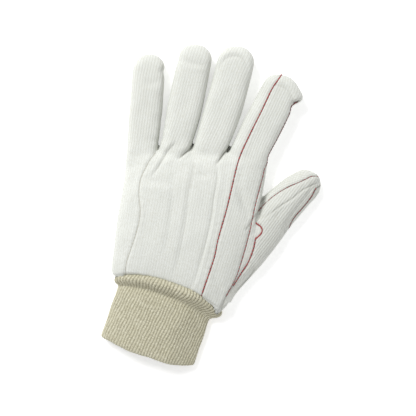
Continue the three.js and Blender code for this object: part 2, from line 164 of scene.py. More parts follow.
# Seams seen from above: across and along the palm, in shares of its sizes.
LITTLE_SEAM = [
    (0.022, 1.793), (-0.002, 1.348), (-0.05, 1.13), (-0.065, 1.015), (-0.129, 0.91),
    (-0.18, 0.799), (-0.19, 0.702), (-0.18, 0.577), (-0.194, 0.493), (-0.237, 0.354),
    (-0.281, 0.229), (-0.291, 0.132), (-0.309, -0.06),
]
INDEX_SEAM = [
    (0.87, 1.654), (0.824, 1.529), (0.76, 1.436), (0.683, 1.281), (0.601, 1.122),
    (0.521, 0.949), (0.486, 0.825), (0.432, 0.605), (0.367, 0.382), (0.345, 0.276),
    (0.275, 0.072), (0.209, -0.125),
]
EDGE_SEAM = [
    (1.043, 1.654), (1.043, 1.383), (0.942, 1.154), (0.813, 1.015), (0.714, 0.905),
    (0.688, 0.817), (0.638, 0.639), (0.592, 0.435), (0.532, 0.222), (0.496, 0.125),
    (0.409, -0.035), (0.338, -0.167),
]
LOOP_SEAM = [
    (0.93, 0.95), (0.8, 0.79), (0.691, 0.674), (0.651, 0.57), (0.642, 0.502), (0.679, 0.475),
    (0.686, 0.448), (0.67, 0.422), (0.638, 0.395), (0.624, 0.329), (0.583, 0.227),
    (0.537, 0.16), (0.486, 0.081), (0.432, 0.0), (0.367, -0.167),
]
# Thumb seams: along and across the thumb, in shares of its sizes.
THUMB_UPPER_SEAM = [
    (1.06, 0.2), (1.0, -0.02), (0.972, -0.12), (0.936, -0.161), (0.883, -0.225),
    (0.818, -0.309), (0.755, -0.368), (0.694, -0.403), (0.627, -0.414), (0.555, -0.395),
    (0.42, -0.3),
]
THUMB_LOWER_SEAM = [
    (1.04, 0.22), (0.966, 0.171), (0.932, 0.15), (0.886, 0.203), (0.832, 0.237),
    (0.774, 0.256), (0.707, 0.276), (0.648, 0.34), (0.599, 0.5), (0.56, 1.0),
]


def leaning(degrees):
    """The direction that leans from +Y towards +X."""
    a = np.radians(degrees)
    return np.stack([np.sin(a), np.cos(a)], -1)


def on_palm(points):
    """From (across, along) shares of the palm to millimetres in the hand's axes."""
    return np.asarray(points, float) * (PALM_WIDTH, PALM_LENGTH)


THUMB_ROOT = on_palm((0.309, 0.09))


def on_thumb(points):
    """From (along, across) shares of the thumb to millimetres in the hand's axes."""
    p = np.asarray(points, float)
    ahead = leaning(THUMB_LEAN)
    aside = np.array([ahead[1], -ahead[0]])
    return (
        THUMB_ROOT
        + p[..., :1] * THUMB_LENGTH * ahead
        + p[..., 1:2] * THUMB_WIDTH * aside
    )


def smoothstep(x, lo, hi):
    """Rises smoothly from 0 at lo to 1 at hi."""
    t = np.clip((x - lo) / (hi - lo), 0.0, 1.0)
    return t * t * (3 - 2 * t)


def bell(x, wide):
    """1 at 0, and smoothly less to both sides."""
    return np.exp(-((x / wide) ** 2))


def spline(points, step=1.0):
    """A centripetal Catmull-Rom line through the points, with a point about each step."""
    p = np.asarray(points, float)
    p = np.vstack([2 * p[0] - p[1], p, 2 * p[-1] - p[-2]])
    out = []
    for a, b, c, d in zip(p, p[1:], p[2:], p[3:]):
        t = np.cumsum([0] + [np.linalg.norm(v) ** 0.5 + 1e-9 for v in (b - a, c - b, d - c)])
        n = max(2, int(np.linalg.norm(c - b) / step))
        x = np.linspace(t[1], t[2], n, endpoint=False)[:, None]
        a1 = (t[1] - x) / (t[1] - t[0]) * a + (x - t[0]) / (t[1] - t[0]) * b
        a2 = (t[2] - x) / (t[2] - t[1]) * b + (x - t[1]) / (t[2] - t[1]) * c
        a3 = (t[3] - x) / (t[3] - t[2]) * c + (x - t[2]) / (t[3] - t[2]) * d
        b1 = (t[2] - x) / (t[2] - t[0]) * a1 + (x - t[0]) / (t[2] - t[0]) * a2
        b2 = (t[3] - x) / (t[3] - t[1]) * a2 + (x - t[1]) / (t[3] - t[1]) * a3
        out.append((t[2] - x) / (t[2] - t[1]) * b1 + (x - t[1]) / (t[2] - t[1]) * b2)
    return np.vstack(out + [p[-2:-1]])


def line_distance(xy, line, reach=None):
    """Distance to a polyline, the side it is on (positive to the right) and the share along it.

    Places further than reach from the line are left at a great distance.
    """
    if reach is not None:
        close = ((xy > line.min(0) - reach) & (xy < line.max(0) + reach)).all(1)
        out = [np.full(len(xy), 1e9), np.ones(len(xy)), np.zeros(len(xy))]
        for whole, part in zip(out, line_distance(xy[close], line)):
            whole[close] = part
        return out
    best = np.full(len(xy), 1e9)
    side = np.zeros(len(xy))
    share = np.zeros(len(xy))
    seg = np.linalg.norm(np.diff(line, axis=0), axis=1)
    run = np.concatenate([[0], np.cumsum(seg)])
    for i, (a, b) in enumerate(zip(line, line[1:])):
        d = b - a
        t = np.clip((xy - a) @ d / (d @ d), 0, 1)
        away = xy - a - t[:, None] * d
        dist = np.hypot(away[:, 0], away[:, 1])
        near = dist < best
        best[near] = dist[near]
        cross = d[0] * (xy[:, 1] - a[1]) - d[1] * (xy[:, 0] - a[0])
        side[near] = -np.sign(cross[near])
        share[near] = (run[i] + t[near] * seg[i]) / run[-1]
    return best, side, share


# Height fields of the lofts, on a grid in the plane.
lo = np.array([-62.0, -26.0])
hi = np.array([134.0, 214.0])
gx = np.arange(lo[0], hi[0], VOXEL)
gy = np.arange(lo[1], hi[1], VOXEL)
gz = np.arange(-3.0, 32.0, VOXEL)
PLANE = np.stack(np.meshgrid(gx, gy, indexing="ij"), -1)


def loft_maps(centre, onward, width, high, bow, steps=72):
    """For each grid place: share along the loft, offset across it, distance past its ends,
    the section's width and height there, and how far the place is past the last section.
    """
    ts = np.linspace(0, 1, steps)
    c, n, w, b = centre(ts), onward(ts), width(ts), bow(ts)
    flat = PLANE.reshape(-1, 2)
    a = np.stack([n[:, 1], -n[:, 0]], -1)
    ahead = np.empty((len(flat), steps), np.float32)
    for k in range(steps):
        rel = flat - c[k]
        s = rel @ a[k]
        ahead[:, k] = rel @ n[k] - b[k] * (1 - np.clip(2 * s / w[k], -1, 1) ** 2)
    past = ahead[:, -1]
    before = -ahead[:, 0]
    inside = ahead > 0
    k = np.clip(inside.sum(1) - 1, 0, steps - 2)
    row = np.arange(len(flat))
    d0, d1 = ahead[row, k], ahead[row, k + 1]
    f = np.clip(d0 / np.maximum(d0 - d1, 1e-6), 0, 1)
    t = (k + f) / (steps - 1)
    cc = np.stack([np.interp(t, ts, c[:, i]) for i in (0, 1)], -1)
    nn = np.stack([np.interp(t, ts, n[:, i]) for i in (0, 1)], -1)
    nn /= np.linalg.norm(nn, axis=1, keepdims=True)
    rel = flat - cc
    s = rel[:, 0] * nn[:, 1] - rel[:, 1] * nn[:, 0]
    shape = PLANE.shape[:2]
    over = np.maximum(np.maximum(past, before), 0)
    wide, tall = np.interp(t, ts, w), np.interp(t, ts, high(ts))
    return [v.reshape(shape) for v in (t, s, over, wide, tall, past)]


def loft_field(maps, crown, under, length, tip, back=0.0):
    """A signed distance, negative inside, to a loft with a superellipse section.

    tip is the length of its rounded end, and back how far it runs on before its first section.
    """
    t, s, over, w, h, past = maps
    a = (w / 2)[..., None]
    widest = (EQUATOR * h)[..., None]
    z = gz[None, None, :]
    above = z > widest
    b = np.where(above, h[..., None] - widest, widest + SINK)
    zeta = np.abs(z - widest) / b
    n = np.where(above, crown, under)
    u = np.abs(s)[..., None] / a
    q = np.maximum((u**n + zeta**n), 1e-9) ** (1 / n)
    if tip:
        cap = np.clip((t * length - (length - tip)) / tip, 0, None) + (over * (t > 0.5)) / tip
        q = (q**2.4 + cap[..., None] ** 2.4) ** (1 / 2.4)
    slope = np.sqrt((u ** (n - 1) / a) ** 2 + (zeta ** (n - 1) / b) ** 2)
    slope *= np.maximum(q, 0.3) ** (1 - n)
    slope = np.maximum(slope, 1 / 60.0)
    if tip:
        slope = np.maximum(slope, np.where(cap > 0.35, 1 / tip, 0)[..., None])
    f = (q - 1) / slope
    start = (np.maximum(over - back, 0) * (t < 0.5))[..., None]
    outside = np.sqrt(np.maximum(f, 0) ** 2 + start**2) + np.minimum(f, 0) * (start < 0.5)
    return np.where(start > 0, outside, f)


def smooth_min(a, b, k):
    """The smaller of two distances, with a fillet of about k between the forms."""
    h = np.clip(0.5 + 0.5 * (b - a) / k, 0, 1)
    return b * (1 - h) + a * h - k * h * (1 - h)


def table(rows):
    """Smooth columns of a table over its first column, as functions of a share from 0 to 1."""
    rows = np.asarray(rows, float)
    x = rows[:, 0]
    fine = np.linspace(x[0], x[-1], 400)
    out = []
    for col in rows.T:
        m = np.gradient(col, x)
        i = np.clip(np.searchsorted(x, fine) - 1, 0, len(x) - 2)
        hstep = x[i + 1] - x[i]
        t = (fine - x[i]) / hstep
        out.append(
            (2 * t**3 - 3 * t**2 + 1) * col[i]
            + (t**3 - 2 * t**2 + t) * hstep * m[i]
            + (-2 * t**3 + 3 * t**2) * col[i + 1]
            + (t**3 - t**2) * hstep * m[i + 1]
        )
    span = np.linspace(0, 1, 400)
    return [lambda t, c=c: np.interp(t, span, c) for c in out]


def palm_field():
    """The hand from the wrist's seam to the knuckles, with its end cut off past the last row."""
    along, across, wide, high, turn, bow = table(PALM_SECTIONS)
    centre = lambda t: np.stack([across(t) * PALM_WIDTH, along(t) * PALM_LENGTH], -1)
    onward = lambda t: leaning(-turn(t))
    width = lambda t: wide(t) * PALM_WIDTH
    height = lambda t: high(t) * PALM_HEIGHT
    maps = loft_maps(centre, onward, width, height, lambda t: bow(t) * WRIST_BOW)
    f = loft_field(maps, PALM_CROWN, PALM_UNDER, PALM_LENGTH, 0, TURNED_IN)
    past = np.maximum(maps[5], 0)[..., None]
    return np.where(past > 0, np.sqrt(np.maximum(f, 0) ** 2 + past**2), f)


def finger_field(row):
    """A finger, bent evenly from its root to its tip."""
    across, along, lean, bend, long, wide, high, base = row
    _, section_wide, section_high = table(FINGER_SECTIONS)
    root = on_palm((across, along))
    length = long * FINGER_LENGTH
    centre = lambda t: root + leaning(lean + bend * t / 2) * (t * length)[:, None]
    onward = lambda t: leaning(lean + bend * t)
    width = lambda t: (section_wide(t) + base * (1 - t) ** 4) * wide * FINGER_WIDTH
    height = lambda t: section_high(t) * high * FINGER_HEIGHT
    maps = loft_maps(centre, onward, width, height, lambda t: 0 * t)
    return loft_field(maps, FINGER_CROWN, UNDER, length, TIP)


def thumb_field():
    """The thumb with its wide base, which runs on into the heel of the hand."""
    along, across, wide, high, turn = table(THUMB_SECTIONS)
    centre = lambda t: on_thumb(np.stack([along(t), across(t)], -1))
    onward = lambda t: leaning(THUMB_LEAN - turn(t))
    width = lambda t: wide(t) * THUMB_WIDTH
    height = lambda t: high(t) * THUMB_HEIGHT
    maps = loft_maps(centre, onward, width, height, lambda t: 0 * t)
    return loft_field(maps, THUMB_CROWN, UNDER, THUMB_LENGTH, TIP + 3)


# Cloth at the crotches between the fingers: x, y, lean, half width, half length, height.
WEBS = [
    (-7.3, 114.5, 8.0, 4.5, 8.3, 13.0),
    (20.2, 115.5, 18.0, 5.0, 9.0, 14.5),
    (48.3, 113.5, 26.0, 5.5, 10.5, 8.0),
]


def web_field(x, y, lean, half_width, half_length, height):
    """Half an egg of cloth that fills the foot of the gap between two fingers."""
    rel = PLANE - (x, y)
    ahead = leaning(lean)
    along = rel @ ahead / half_length
    aside = (rel @ np.array([ahead[1], -ahead[0]])) / half_width
    up = gz / height
    q = np.sqrt((along**2 + aside**2)[..., None] + up[None, None, :] ** 2)
    return (q - 1) * min(half_width, height)


# The whole outer shape of the cloth, cut flat on the floor, as a mesh.
field = np.minimum.reduce([finger_field(row) for row in FINGERS.values()])
field = smooth_min(field, palm_field(), 4.0)
field = smooth_min(field, thumb_field(), 2.5)
for web in WEBS:
    field = smooth_min(field, web_field(*web), 2.0)
field = np.maximum(field, -gz[None, None, :])

grid = openvdb.FloatGrid()
grid.background = 3.0
grid.copyFromArray(np.clip(field, -3, 3).astype(np.float32))
verts, _, quads = grid.convertToPolygons(0.0, 0.0)
verts = np.asarray(verts, float) * VOXEL + (lo[0], lo[1], gz[0])
tris = np.vstack([quads[:, [0, 1, 2]], quads[:, [0, 2, 3]]]).astype(int)
corner = verts[tris]
if np.einsum("ij,ij->i", corner[:, 0], np.cross(corner[:, 1], corner[:, 2])).sum() < 0:
    tris = tris[:, ::-1]


def edges_of(tris):
    """Each edge of the triangles once."""
    e = np.sort(np.vstack([tris[:, [0, 1]], tris[:, [1, 2]], tris[:, [2, 0]]]), axis=1)
    return np.unique(e, axis=0)


def normals_of(verts, tris):
    """Outward directions at the vertices."""
    c = verts[tris]
    n = np.cross(c[:, 1] - c[:, 0], c[:, 2] - c[:, 0])
    out = np.zeros_like(verts)
    for k in range(3):
        for axis in range(3):
            out[:, axis] += np.bincount(tris[:, k], n[:, axis], len(verts))
    return out / np.maximum(np.linalg.norm(out, axis=1, keepdims=True), 1e-12)


def relaxed(values, edges, rounds, amount=0.5):
    """Values at the vertices, evened out along the edges."""
    count = np.bincount(edges.ravel(), minlength=len(values))[:, None]
    v = values.reshape(len(values), -1).copy()
    for _ in range(rounds):
        mean = np.stack(
            [
                np.bincount(edges[:, 0], v[edges[:, 1], k], len(v))
                + np.bincount(edges[:, 1], v[edges[:, 0], k], len(v))
                for k in range(v.shape[1])
            ],
            -1,
        ) / np.maximum(count, 1)
        v += amount * (mean - v)
    return v.reshape(values.shape)


edges = edges_of(tris)
verts = relaxed(verts, edges, 4)

# Moves in the plane that give the outline its bumps: x, y, reach, and how far along x and y.
NUDGES = [
    (108.0, 162.5, 5.5, 3.2, -1.2),
    (104.5, 154.5, 4.5, -1.8, 0.6),
    (-2.5, 184.0, 3.2, -1.2, 0.0),
    (27.0, 203.0, 9.0, 0.3, 1.3),
    (61.0, 202.0, 10.0, 0.8, 1.9),
    (44.0, 200.0, 7.0, 1.0, 0.0),
    (8.0, 196.0, 8.0, 1.2, 0.0),
    (101.0, 178.5, 8.0, 0.9, 1.4),
    (123.0, 97.0, 6.0, 1.0, 1.2),
    (105.0, 101.0, 6.0, 0.3, -1.1),
    (-25.0, 192.0, 6.0, 1.3, -0.7),
    (-12.0, 197.0, 6.0, 0.0, 0.8),
    (-45.0, 19.0, 6.0, -0.9, 0.0),
    (-46.0, 12.0, 4.2, 2.3, 0.0),
    (-11.8, 128.0, 4.0, -2.8, 0.0),
    (-10.5, 136.0, 4.0, -2.6, 0.0),
    (-8.8, 144.0, 4.0, -1.8, 0.0),
    (-1.7, 128.0, 4.0, 1.5, 0.0),
    (-0.2, 136.0, 4.0, 1.4, 0.0),
    (1.4, 144.0, 4.0, 1.0, 0.0),
    (16.4, 131.0, 4.0, -1.5, 0.0),
    (18.2, 139.0, 4.0, -1.5, 0.0),
    (49.0, -7.0, 7.0, 1.6, -1.6),
]
for x, y, reach, dx, dy in NUDGES:
    weight = np.exp(-(((verts[:, 0] - x) ** 2 + (verts[:, 1] - y) ** 2) / reach**2))
    verts[:, 0] += dx * weight
    verts[:, 1] += dy * weight

# The seams as lines, all running from the fingertips down to the wrist.
SEAMS = {
    "little": spline(on_palm(LITTLE_SEAM)),
    "index": spline(on_palm(INDEX_SEAM)),
    "edge": spline(on_palm(EDGE_SEAM)),
    "loop": spline(on_palm(LOOP_SEAM)),
    "upper": spline(on_thumb(THUMB_UPPER_SEAM)),
    "lower": spline(on_thumb(THUMB_LOWER_SEAM)),
}
# The thumb's upper seam, run on across the hand so that it parts the whole thumb.
UPPER_EXTENDED = np.vstack([SEAMS["upper"], [[0.0, SEAMS["upper"][-1][1]]]])


def east_of(xy, line):
    """Signed distance to a line that runs down: positive on the thumb's side."""
    distance, side, _ = line_distance(xy, line)
    return -side * distance


# Creases: points in millimetres, then depth, width, height of the ridge beside it, its side
# (1 on the little finger's side of a line that runs down, -1 on the thumb's side), and how dark
# the painted shade along its line is.
CREASES = [
    (
        [
            (41.2, 107.0), (41.2, 94.6), (38.6, 79.7), (37.1, 66.3), (34.1, 51.3), (29.5, 34.4),
            (23.8, 14.8), (19.7, 4.9),
        ],
        0.7, 1.6, 0.35, -1, 0.22,
    ),
    (
        [(23.4, 112.3), (21.5, 99.1), (18.4, 82.7), (15.5, 58.8), (12.5, 42.4), (7.4, 19.7)],
        0.5, 2.2, 0.3, 1, 0.12,
    ),
    ([(6.6, 100.0), (5.7, 84.1), (5.1, 73.8), (3.3, 59.0), (-1.0, 34.0)], 0.4, 2.6, 0.2, 1, 0.0),
    (
        [(8.2, 125.5), (0.2, 116.2), (-3.1, 110.3), (-6.1, 105.0), (-11.9, 96.8)],
        0.7, 1.5, 0.5, 1, 0.3,
    ),
    ([(19.5, 122.5), (12.0, 119.0), (5.0, 113.5), (-1.0, 106.0)], -0.7, 3.0, 0.0, 1, 0.0),
    ([(22.5, 126.5), (20.0, 121.0), (17.1, 117.5), (13.6, 114.5), (9.5, 111.0)], 1.5, 1.3, 0.4, -1, 0.75),
    ([(53.0, 127.5), (51.1, 121.6), (46.4, 115.1), (40.5, 106.5)], 1.4, 1.3, 0.3, 1, 0.85),
    ([(41.0, 106.6), (34.4, 107.4), (27.1, 111.5), (20.5, 111.5)], 0.3, 2.8, 0.2, -1, 0.0),
    ([(24.6, 98.8), (30.3, 98.0), (36.1, 98.8)], 0.35, 2.6, 0.2, 1, 0.0),
    ([(-19.7, 95.1), (-7.4, 92.7), (4.1, 91.0)], 0.5, 3.4, 0.3, 1, 0.0),
    ([(59.5, 103.0), (61.5, 84.0), (65.0, 66.0)], 0.5, 3.6, 0.2, 1, 0.0),
    ([(80.8, 83.5), (78.6, 75.0), (76.4, 67.0), (75.0, 60.5)], 2.4, 1.7, 0.5, 1, 0.55),
    ([(73.0, 23.0), (68.0, 15.0), (62.0, 8.5), (55.0, 1.5)], 1.2, 2.8, 0.4, 1, 0.45),
    ([(54.0, 94.0), (62.0, 78.0), (68.5, 64.0)], 0.9, 3.6, 0.3, 1, 0.0),
    ([(35.5, 24.0), (41.0, 14.0), (45.5, 6.0)], 0.7, 3.0, 0.3, 1, 0.0),
    (
        [
            (126.0, 91.0), (121.5, 91.2), (117.3, 89.6), (111.0, 86.4), (102.6, 79.6),
            (94.9, 74.8), (86.5, 68.6), (78.0, 62.0),
        ],
        0.5, 1.2, 0.3, -1, 0.45,
    ),
    ([(98.0, 73.5), (92.0, 68.0), (88.0, 62.0)], 0.5, 3.0, 0.2, 1, 0.0),
    ([(11.5, 192.7), (22.1, 188.6), (32.8, 187.8)], 0.5, 2.2, 0.3, 1, 0.0),
    ([(41.8, 183.2), (46.5, 191.4), (53.7, 195.2), (61.9, 193.5), (67.0, 183.7)], 0.6, 1.9, 0.4, -1, 0.12),
    ([(88.6, 172.4), (97.6, 168.3), (101.7, 163.2), (103.9, 156.6)], 0.7, 2.0, 0.5, -1, 0.1),
    ([(102.5, 157.5), (105.5, 158.0), (110.0, 160.0)], 1.3, 1.1, 0.4, 1, 0.9),
    ([(-18.0, 174.7), (-11.5, 173.0), (-4.9, 176.3)], 0.5, 3.2, 0.2, 1, 0.0),
    ([(-28.0, 118.0), (-26.5, 104.0), (-27.5, 88.0)], 0.4, 4.5, 0.1, 1, 0.0),
    ([(-28.0, 62.0), (-18.0, 50.0), (-16.0, 34.0)], 0.3, 5.0, 0.1, 1, 0.0),
]
# How dark the painted shade along each seam is.
SEAM_SHADE = {"little": 0.16, "index": 0.25, "edge": 0.3, "loop": 0.4, "upper": 0.4, "lower": 0.8}

# The cloth's slack as waves: height, length, how many, how much longer they are along the
# cords, and the turn of the cords in degrees.
SLACK = [
    (0.24, 30.0, 10, 1.0, 0.0),
    (0.08, 11.0, 12, 2.2, 14.0),
    (0.03, 5.0, 14, 1.6, 14.0),
]

rng = np.random.default_rng(11)


def waves(xy, length, count, stretch, turn):
    """Smooth seeded unevenness between about -1 and 1, longer along the direction turn."""
    a = np.radians(turn)
    across = xy[:, 0] * math.cos(a) - xy[:, 1] * math.sin(a)
    along = (xy[:, 0] * math.sin(a) + xy[:, 1] * math.cos(a)) / stretch
    out = np.zeros(len(xy))
    for _ in range(count):
        angle = rng.uniform(0, TURN)
        k = TURN / (length * rng.uniform(0.7, 1.5))
        phase = rng.uniform(0, TURN)
        out += np.sin(k * (across * math.cos(angle) + along * math.sin(angle)) + phase)
    return out / math.sqrt(count)


WRIST = on_palm((PALM_SECTIONS[0][1], PALM_SECTIONS[0][0]))


def past_wrist(v):
    """How far a place is from the wrist's seam, towards the fingers."""
    turn = math.radians(PALM_SECTIONS[0][4])
    onward = np.array([-math.sin(turn), math.cos(turn)])
    rel = v[:, :2] - WRIST
    s = rel @ np.array([onward[1], -onward[0]])
    half = PALM_SECTIONS[0][2] * PALM_WIDTH / 2
    return rel @ onward - WRIST_BOW * (1 - np.clip(s / half, -1, 1) ** 2)


def relief(xy):
    """Height that the creases, seams and slack of the cloth add to the upper side."""
    h = sum(height * waves(xy, *kind) for height, *kind in SLACK)
    for points, deep, wide, ridge, side_of_ridge, _ in CREASES:
        distance, side, share = line_distance(xy, spline(points, 2.0), 4 * wide)
        taper = np.clip(4 * share * (1 - share), 0, 1) ** 0.4
        h -= deep * taper * bell(distance, wide)
        off = side * side_of_ridge * distance - 1.7 * wide
        h += ridge * taper * bell(off, 1.1 * wide)
    for line in SEAMS.values():
        distance, side, share = line_distance(xy, line, 12.0)
        run = share * np.linalg.norm(np.diff(line, axis=0), axis=1).sum()
        pucker = np.sin(TURN * run / STITCH_PUCKER + 1.3 * np.sin(run / 9.0) + side)
        h -= 0.4 * bell(distance, 0.9)
        h += 0.15 * bell(distance - SEAM_RIDGE, 1.4)
        h += 0.10 * pucker * bell(distance - SEAM_RIDGE, 2.2)
    # Beside the thumb's lower seam the cloth dips, and past it the edge falls away.
    distance, side, _ = line_distance(xy, SEAMS["lower"], 14.0)
    h -= 1.2 * bell(distance * side - 2.8, 2.2)
    h -= np.where(distance < 1e8, 0.45 * np.clip(-distance * side, 0, 6), 0)
    # Gathers run up from the wrist's seam.
    gather = bell(np.maximum(past_wrist(xy), 0), 6.0)
    h += 0.18 * gather * np.sin(TURN * xy[:, 0] / GATHER_PITCH + 1.7 * np.sin(xy[:, 0] / 11.0))
    return h


def painted_shade_lines(v, normal):
    """How far each place is to the side of the nearest seam or sharp fold, and how dark the painted shade
    there is.
    """
    lines = [(SEAMS[name], dark, False) for name, dark in SEAM_SHADE.items()]
    lines += [(spline(row[0], 1.5), row[5], True) for row in CREASES if row[5] > 0]
    offset = np.full(len(v), 9.0)
    weight = np.zeros(len(v))
    for line, dark, tapered in lines:
        distance, side, share = line_distance(v[:, :2], line, 4.0)
        near = distance < np.abs(offset)
        offset[near] = (distance * np.where(side < 0, -1, 1))[near]
        strength = dark * (1 - smoothstep(distance, 1.6, 3.4))
        if tapered:
            strength = strength * smoothstep(share, 0, 0.12) * smoothstep(1 - share, 0, 0.3)
        weight[near] = strength[near]
    return offset, weight * smoothstep(normal[:, 2], -0.05, 0.25)


# The cloth's relief on its upper side, and the dent of the side seam all round.
normal = normals_of(verts, tris)
upward = smoothstep(normal[:, 2], 0.05, 0.6)
verts = verts + normal * (relief(verts[:, :2]) * upward)[:, None]
side_dent = 0.35 * bell(verts[:, 2] - SIDE_SEAM_HEIGHT, 0.9) * (1 - upward)
verts[:, :2] -= normal[:, :2] * side_dent[:, None]
verts[:, 2] = np.maximum(verts[:, 2], 0.0)


def cut(mesh, value):
    """Cuts a mesh where value(xyz) is zero. Returns its positive and its negative part."""
    verts, tris = mesh
    g = value(verts)
    g = np.where(np.abs(g) < 1e-3, -1e-3, g)
    up = g > 0
    count = up[tris].sum(1)
    crossed = tris[(count == 1) | (count == 2)]
    lone = np.where(up[crossed].sum(1)[:, None] == 1, up[crossed], ~up[crossed]).argmax(1)
    row = np.arange(len(crossed))
    a, b, c = (crossed[row, (lone + k) % 3] for k in range(3))
    sides = np.sort(np.vstack([np.c_[a, b], np.c_[a, c]]), axis=1)
    keys, where = np.unique(sides, axis=0, return_inverse=True)
    where = where.ravel()
    t = g[keys[:, 0]] / (g[keys[:, 0]] - g[keys[:, 1]])
    new = verts[keys[:, 0]] + t[:, None] * (verts[keys[:, 1]] - verts[keys[:, 0]])
    ab = len(verts) + where[: len(crossed)]
    ac = len(verts) + where[len(crossed) :]
    corner_part = np.c_[a, ab, ac]
    rest = np.vstack([np.c_[ab, b, c], np.c_[ab, c, ac]])
    alone_up = up[a]
    twice = np.concatenate([alone_up, alone_up])
    every = np.vstack([verts, new])
    above = np.vstack([tris[count == 3], corner_part[alone_up], rest[~twice]])
    below = np.vstack([tris[count == 0], corner_part[~alone_up], rest[twice]])
    return packed(every, above), packed(every, below)


def packed(verts, tris):
    """The triangles with only the vertices that they use."""
    used, where = np.unique(tris, return_inverse=True)
    return verts[used], where.reshape(tris.shape)


# Each panel is where its function is positive. Those cut off earlier take precedence.
def above_side(v):
    return v[:, 2] - SIDE_SEAM_HEIGHT


def little_region(v):
    return np.minimum(-east_of(v[:, :2], SEAMS["little"]), above_side(v))


def back_region(v):
    return np.minimum(-east_of(v[:, :2], SEAMS["index"]), above_side(v))


def index_region(v):
    return np.minimum(-east_of(v[:, :2], SEAMS["edge"]), above_side(v))


def thumb_back_region(v):
    inner = np.minimum(east_of(v[:, :2], UPPER_EXTENDED), -east_of(v[:, :2], SEAMS["lower"]))
    return np.minimum(inner, above_side(v))


def before_cloth_end(v):
    """Positive on the cloth, which ends inside the roll and covers its ends at the sides."""
    turn = math.radians(PALM_SECTIONS[0][4])
    aside = (v[:, :2] - WRIST) @ np.array([math.cos(turn), math.sin(turn)])
    aside /= PALM_SECTIONS[0][2] * PALM_WIDTH / 2
    end = 2.0 - ROLL_RISE * (1 - np.clip(aside, -1, 1) ** 4)
    end += 1.0 * smoothstep(-aside, 0.7, 1.0) + 2.5 * smoothstep(aside, 0.9, 1.02)
    return past_wrist(v) + end


# The cloth's end tucked in under the roll, then the panels cut one after the other.
shell, _ = cut((verts, tris), before_cloth_end)
tuck = 2.8 * bell(np.maximum(before_cloth_end(shell[0]), 0), 1.9)
shell = (shell[0] - normals_of(*shell) * tuck[:, None], shell[1])
thumb, hand = cut(shell, lambda v: east_of(v[:, :2], SEAMS["loop"]))
panels = {}
panels["little_side_panel"], hand = cut(hand, little_region)
panels["back_panel"], hand = cut(hand, back_region)
panels["index_side_panel"], panels["palm_panel"] = cut(hand, index_region)
panels["thumb_back_panel"], panels["thumb_front_panel"] = cut(thumb, thumb_back_region)

# Cords: the direction they run in, in degrees from +Y towards +X.
CORD_LEANS = {"little": 9.0, "ring": 14.0, "middle": 21.0, "index": 27.0}
PALM_CORDS = (14.0, 9.0)  # at the wrist and at the knuckles
SIDE_PANEL_CORDS = 16.0
THUMB_CORDS = 37.0


def cord_lean(name, v):
    """The direction of a panel's cords at each place: each finger's own, and the hand's between."""
    x, y = v[:, 0], v[:, 1]
    palm = PALM_CORDS[0] + (PALM_CORDS[1] - PALM_CORDS[0]) * smoothstep(y, 0, 95)
    weights, leans = [], []
    for finger, row in FINGERS.items():
        root = on_palm((row[0], row[1]))
        centre = root[0] + math.tan(math.radians(row[2])) * (y - root[1])
        weights.append(1 / (4 + np.abs(x - centre)) ** 4)
        leans.append(CORD_LEANS[finger])
    weights = np.array(weights)
    fingers_lean = (weights * np.array(leans)[:, None]).sum(0) / weights.sum(0)
    if name.startswith("thumb"):
        return np.full(len(v), THUMB_CORDS)
    if name == "index_side_panel":
        return SIDE_PANEL_CORDS + 9.0 * smoothstep(y, 95, 150)
    return palm + (fingers_lean - palm) * smoothstep(y, 92, 128)


def spread(verts, tris, direction, rounds=360):
    """The coordinate whose slope over the surface best follows direction, by conjugate gradients."""
    e = edges_of(tris)
    i, j = e[:, 0], e[:, 1]
    step = np.einsum("ij,ij->i", verts[j] - verts[i], (direction[i] + direction[j]) / 2)
    n = len(verts)

    def both_ways(w):
        return np.bincount(j, w, n) - np.bincount(i, w, n)

    u = verts[:, :2] @ direction[:, :2].mean(0)
    residual = both_ways(step - (u[j] - u[i]))
    search = residual.copy()
    size = residual @ residual
    for _ in range(rounds):
        push = both_ways(search[j] - search[i])
        amount = size / (search @ push)
        u += amount * search
        residual -= amount * push
        new = residual @ residual
        if new < 1e-6 * n * 1e-4:
            break
        search = residual + (new / size) * search
        size = new
    return u


def cord_coordinates(name, verts, tris):
    """Millimetres across and along the cords, as if the panel were laid flat."""
    n = relaxed(normals_of(verts, tris), edges_of(tris), 8)
    n /= np.maximum(np.linalg.norm(n, axis=1, keepdims=True), 1e-9)
    ahead = np.concatenate([leaning(cord_lean(name, verts)), np.zeros((len(verts), 1))], 1)
    along = ahead - n * np.einsum("ij,ij->i", ahead, n)[:, None]
    along /= np.maximum(np.linalg.norm(along, axis=1, keepdims=True), 1e-6)
    across = np.cross(along, n)
    return spread(verts, tris, across), spread(verts, tris, along)


ORIGIN = np.array([*HAND_ORIGIN, 0.0])


def mesh_object(name, verts_mm, faces, uv):
    """An object of these faces. uv says where each vertex lies across and along the cords."""
    mesh = bpy.data.meshes.new(name)
    mesh.from_pydata(((verts_mm - ORIGIN) * MM).tolist(), [], faces.tolist())
    layer = mesh.uv_layers.new(name="cords")
    loops = np.empty(len(mesh.loops), np.int32)
    mesh.loops.foreach_get("vertex_index", loops)
    layer.data.foreach_set("uv", (uv[loops] * MM).astype(np.float32).ravel())
    mesh.polygons.foreach_set("use_smooth", [True] * len(mesh.polygons))
    mesh.update()
    obj = bpy.data.objects.new(name, mesh)
    bpy.context.scene.collection.objects.link(obj)
    return obj


def linear(hex_colour):
    """An sRGB hex colour as linear RGBA."""
    parts = [int(hex_colour[i : i + 2], 16) / 255 for i in (1, 3, 5)]
    return [c / 12.92 if c <= 0.04045 else ((c + 0.055) / 1.055) ** 2.4 for c in parts] + [1.0]


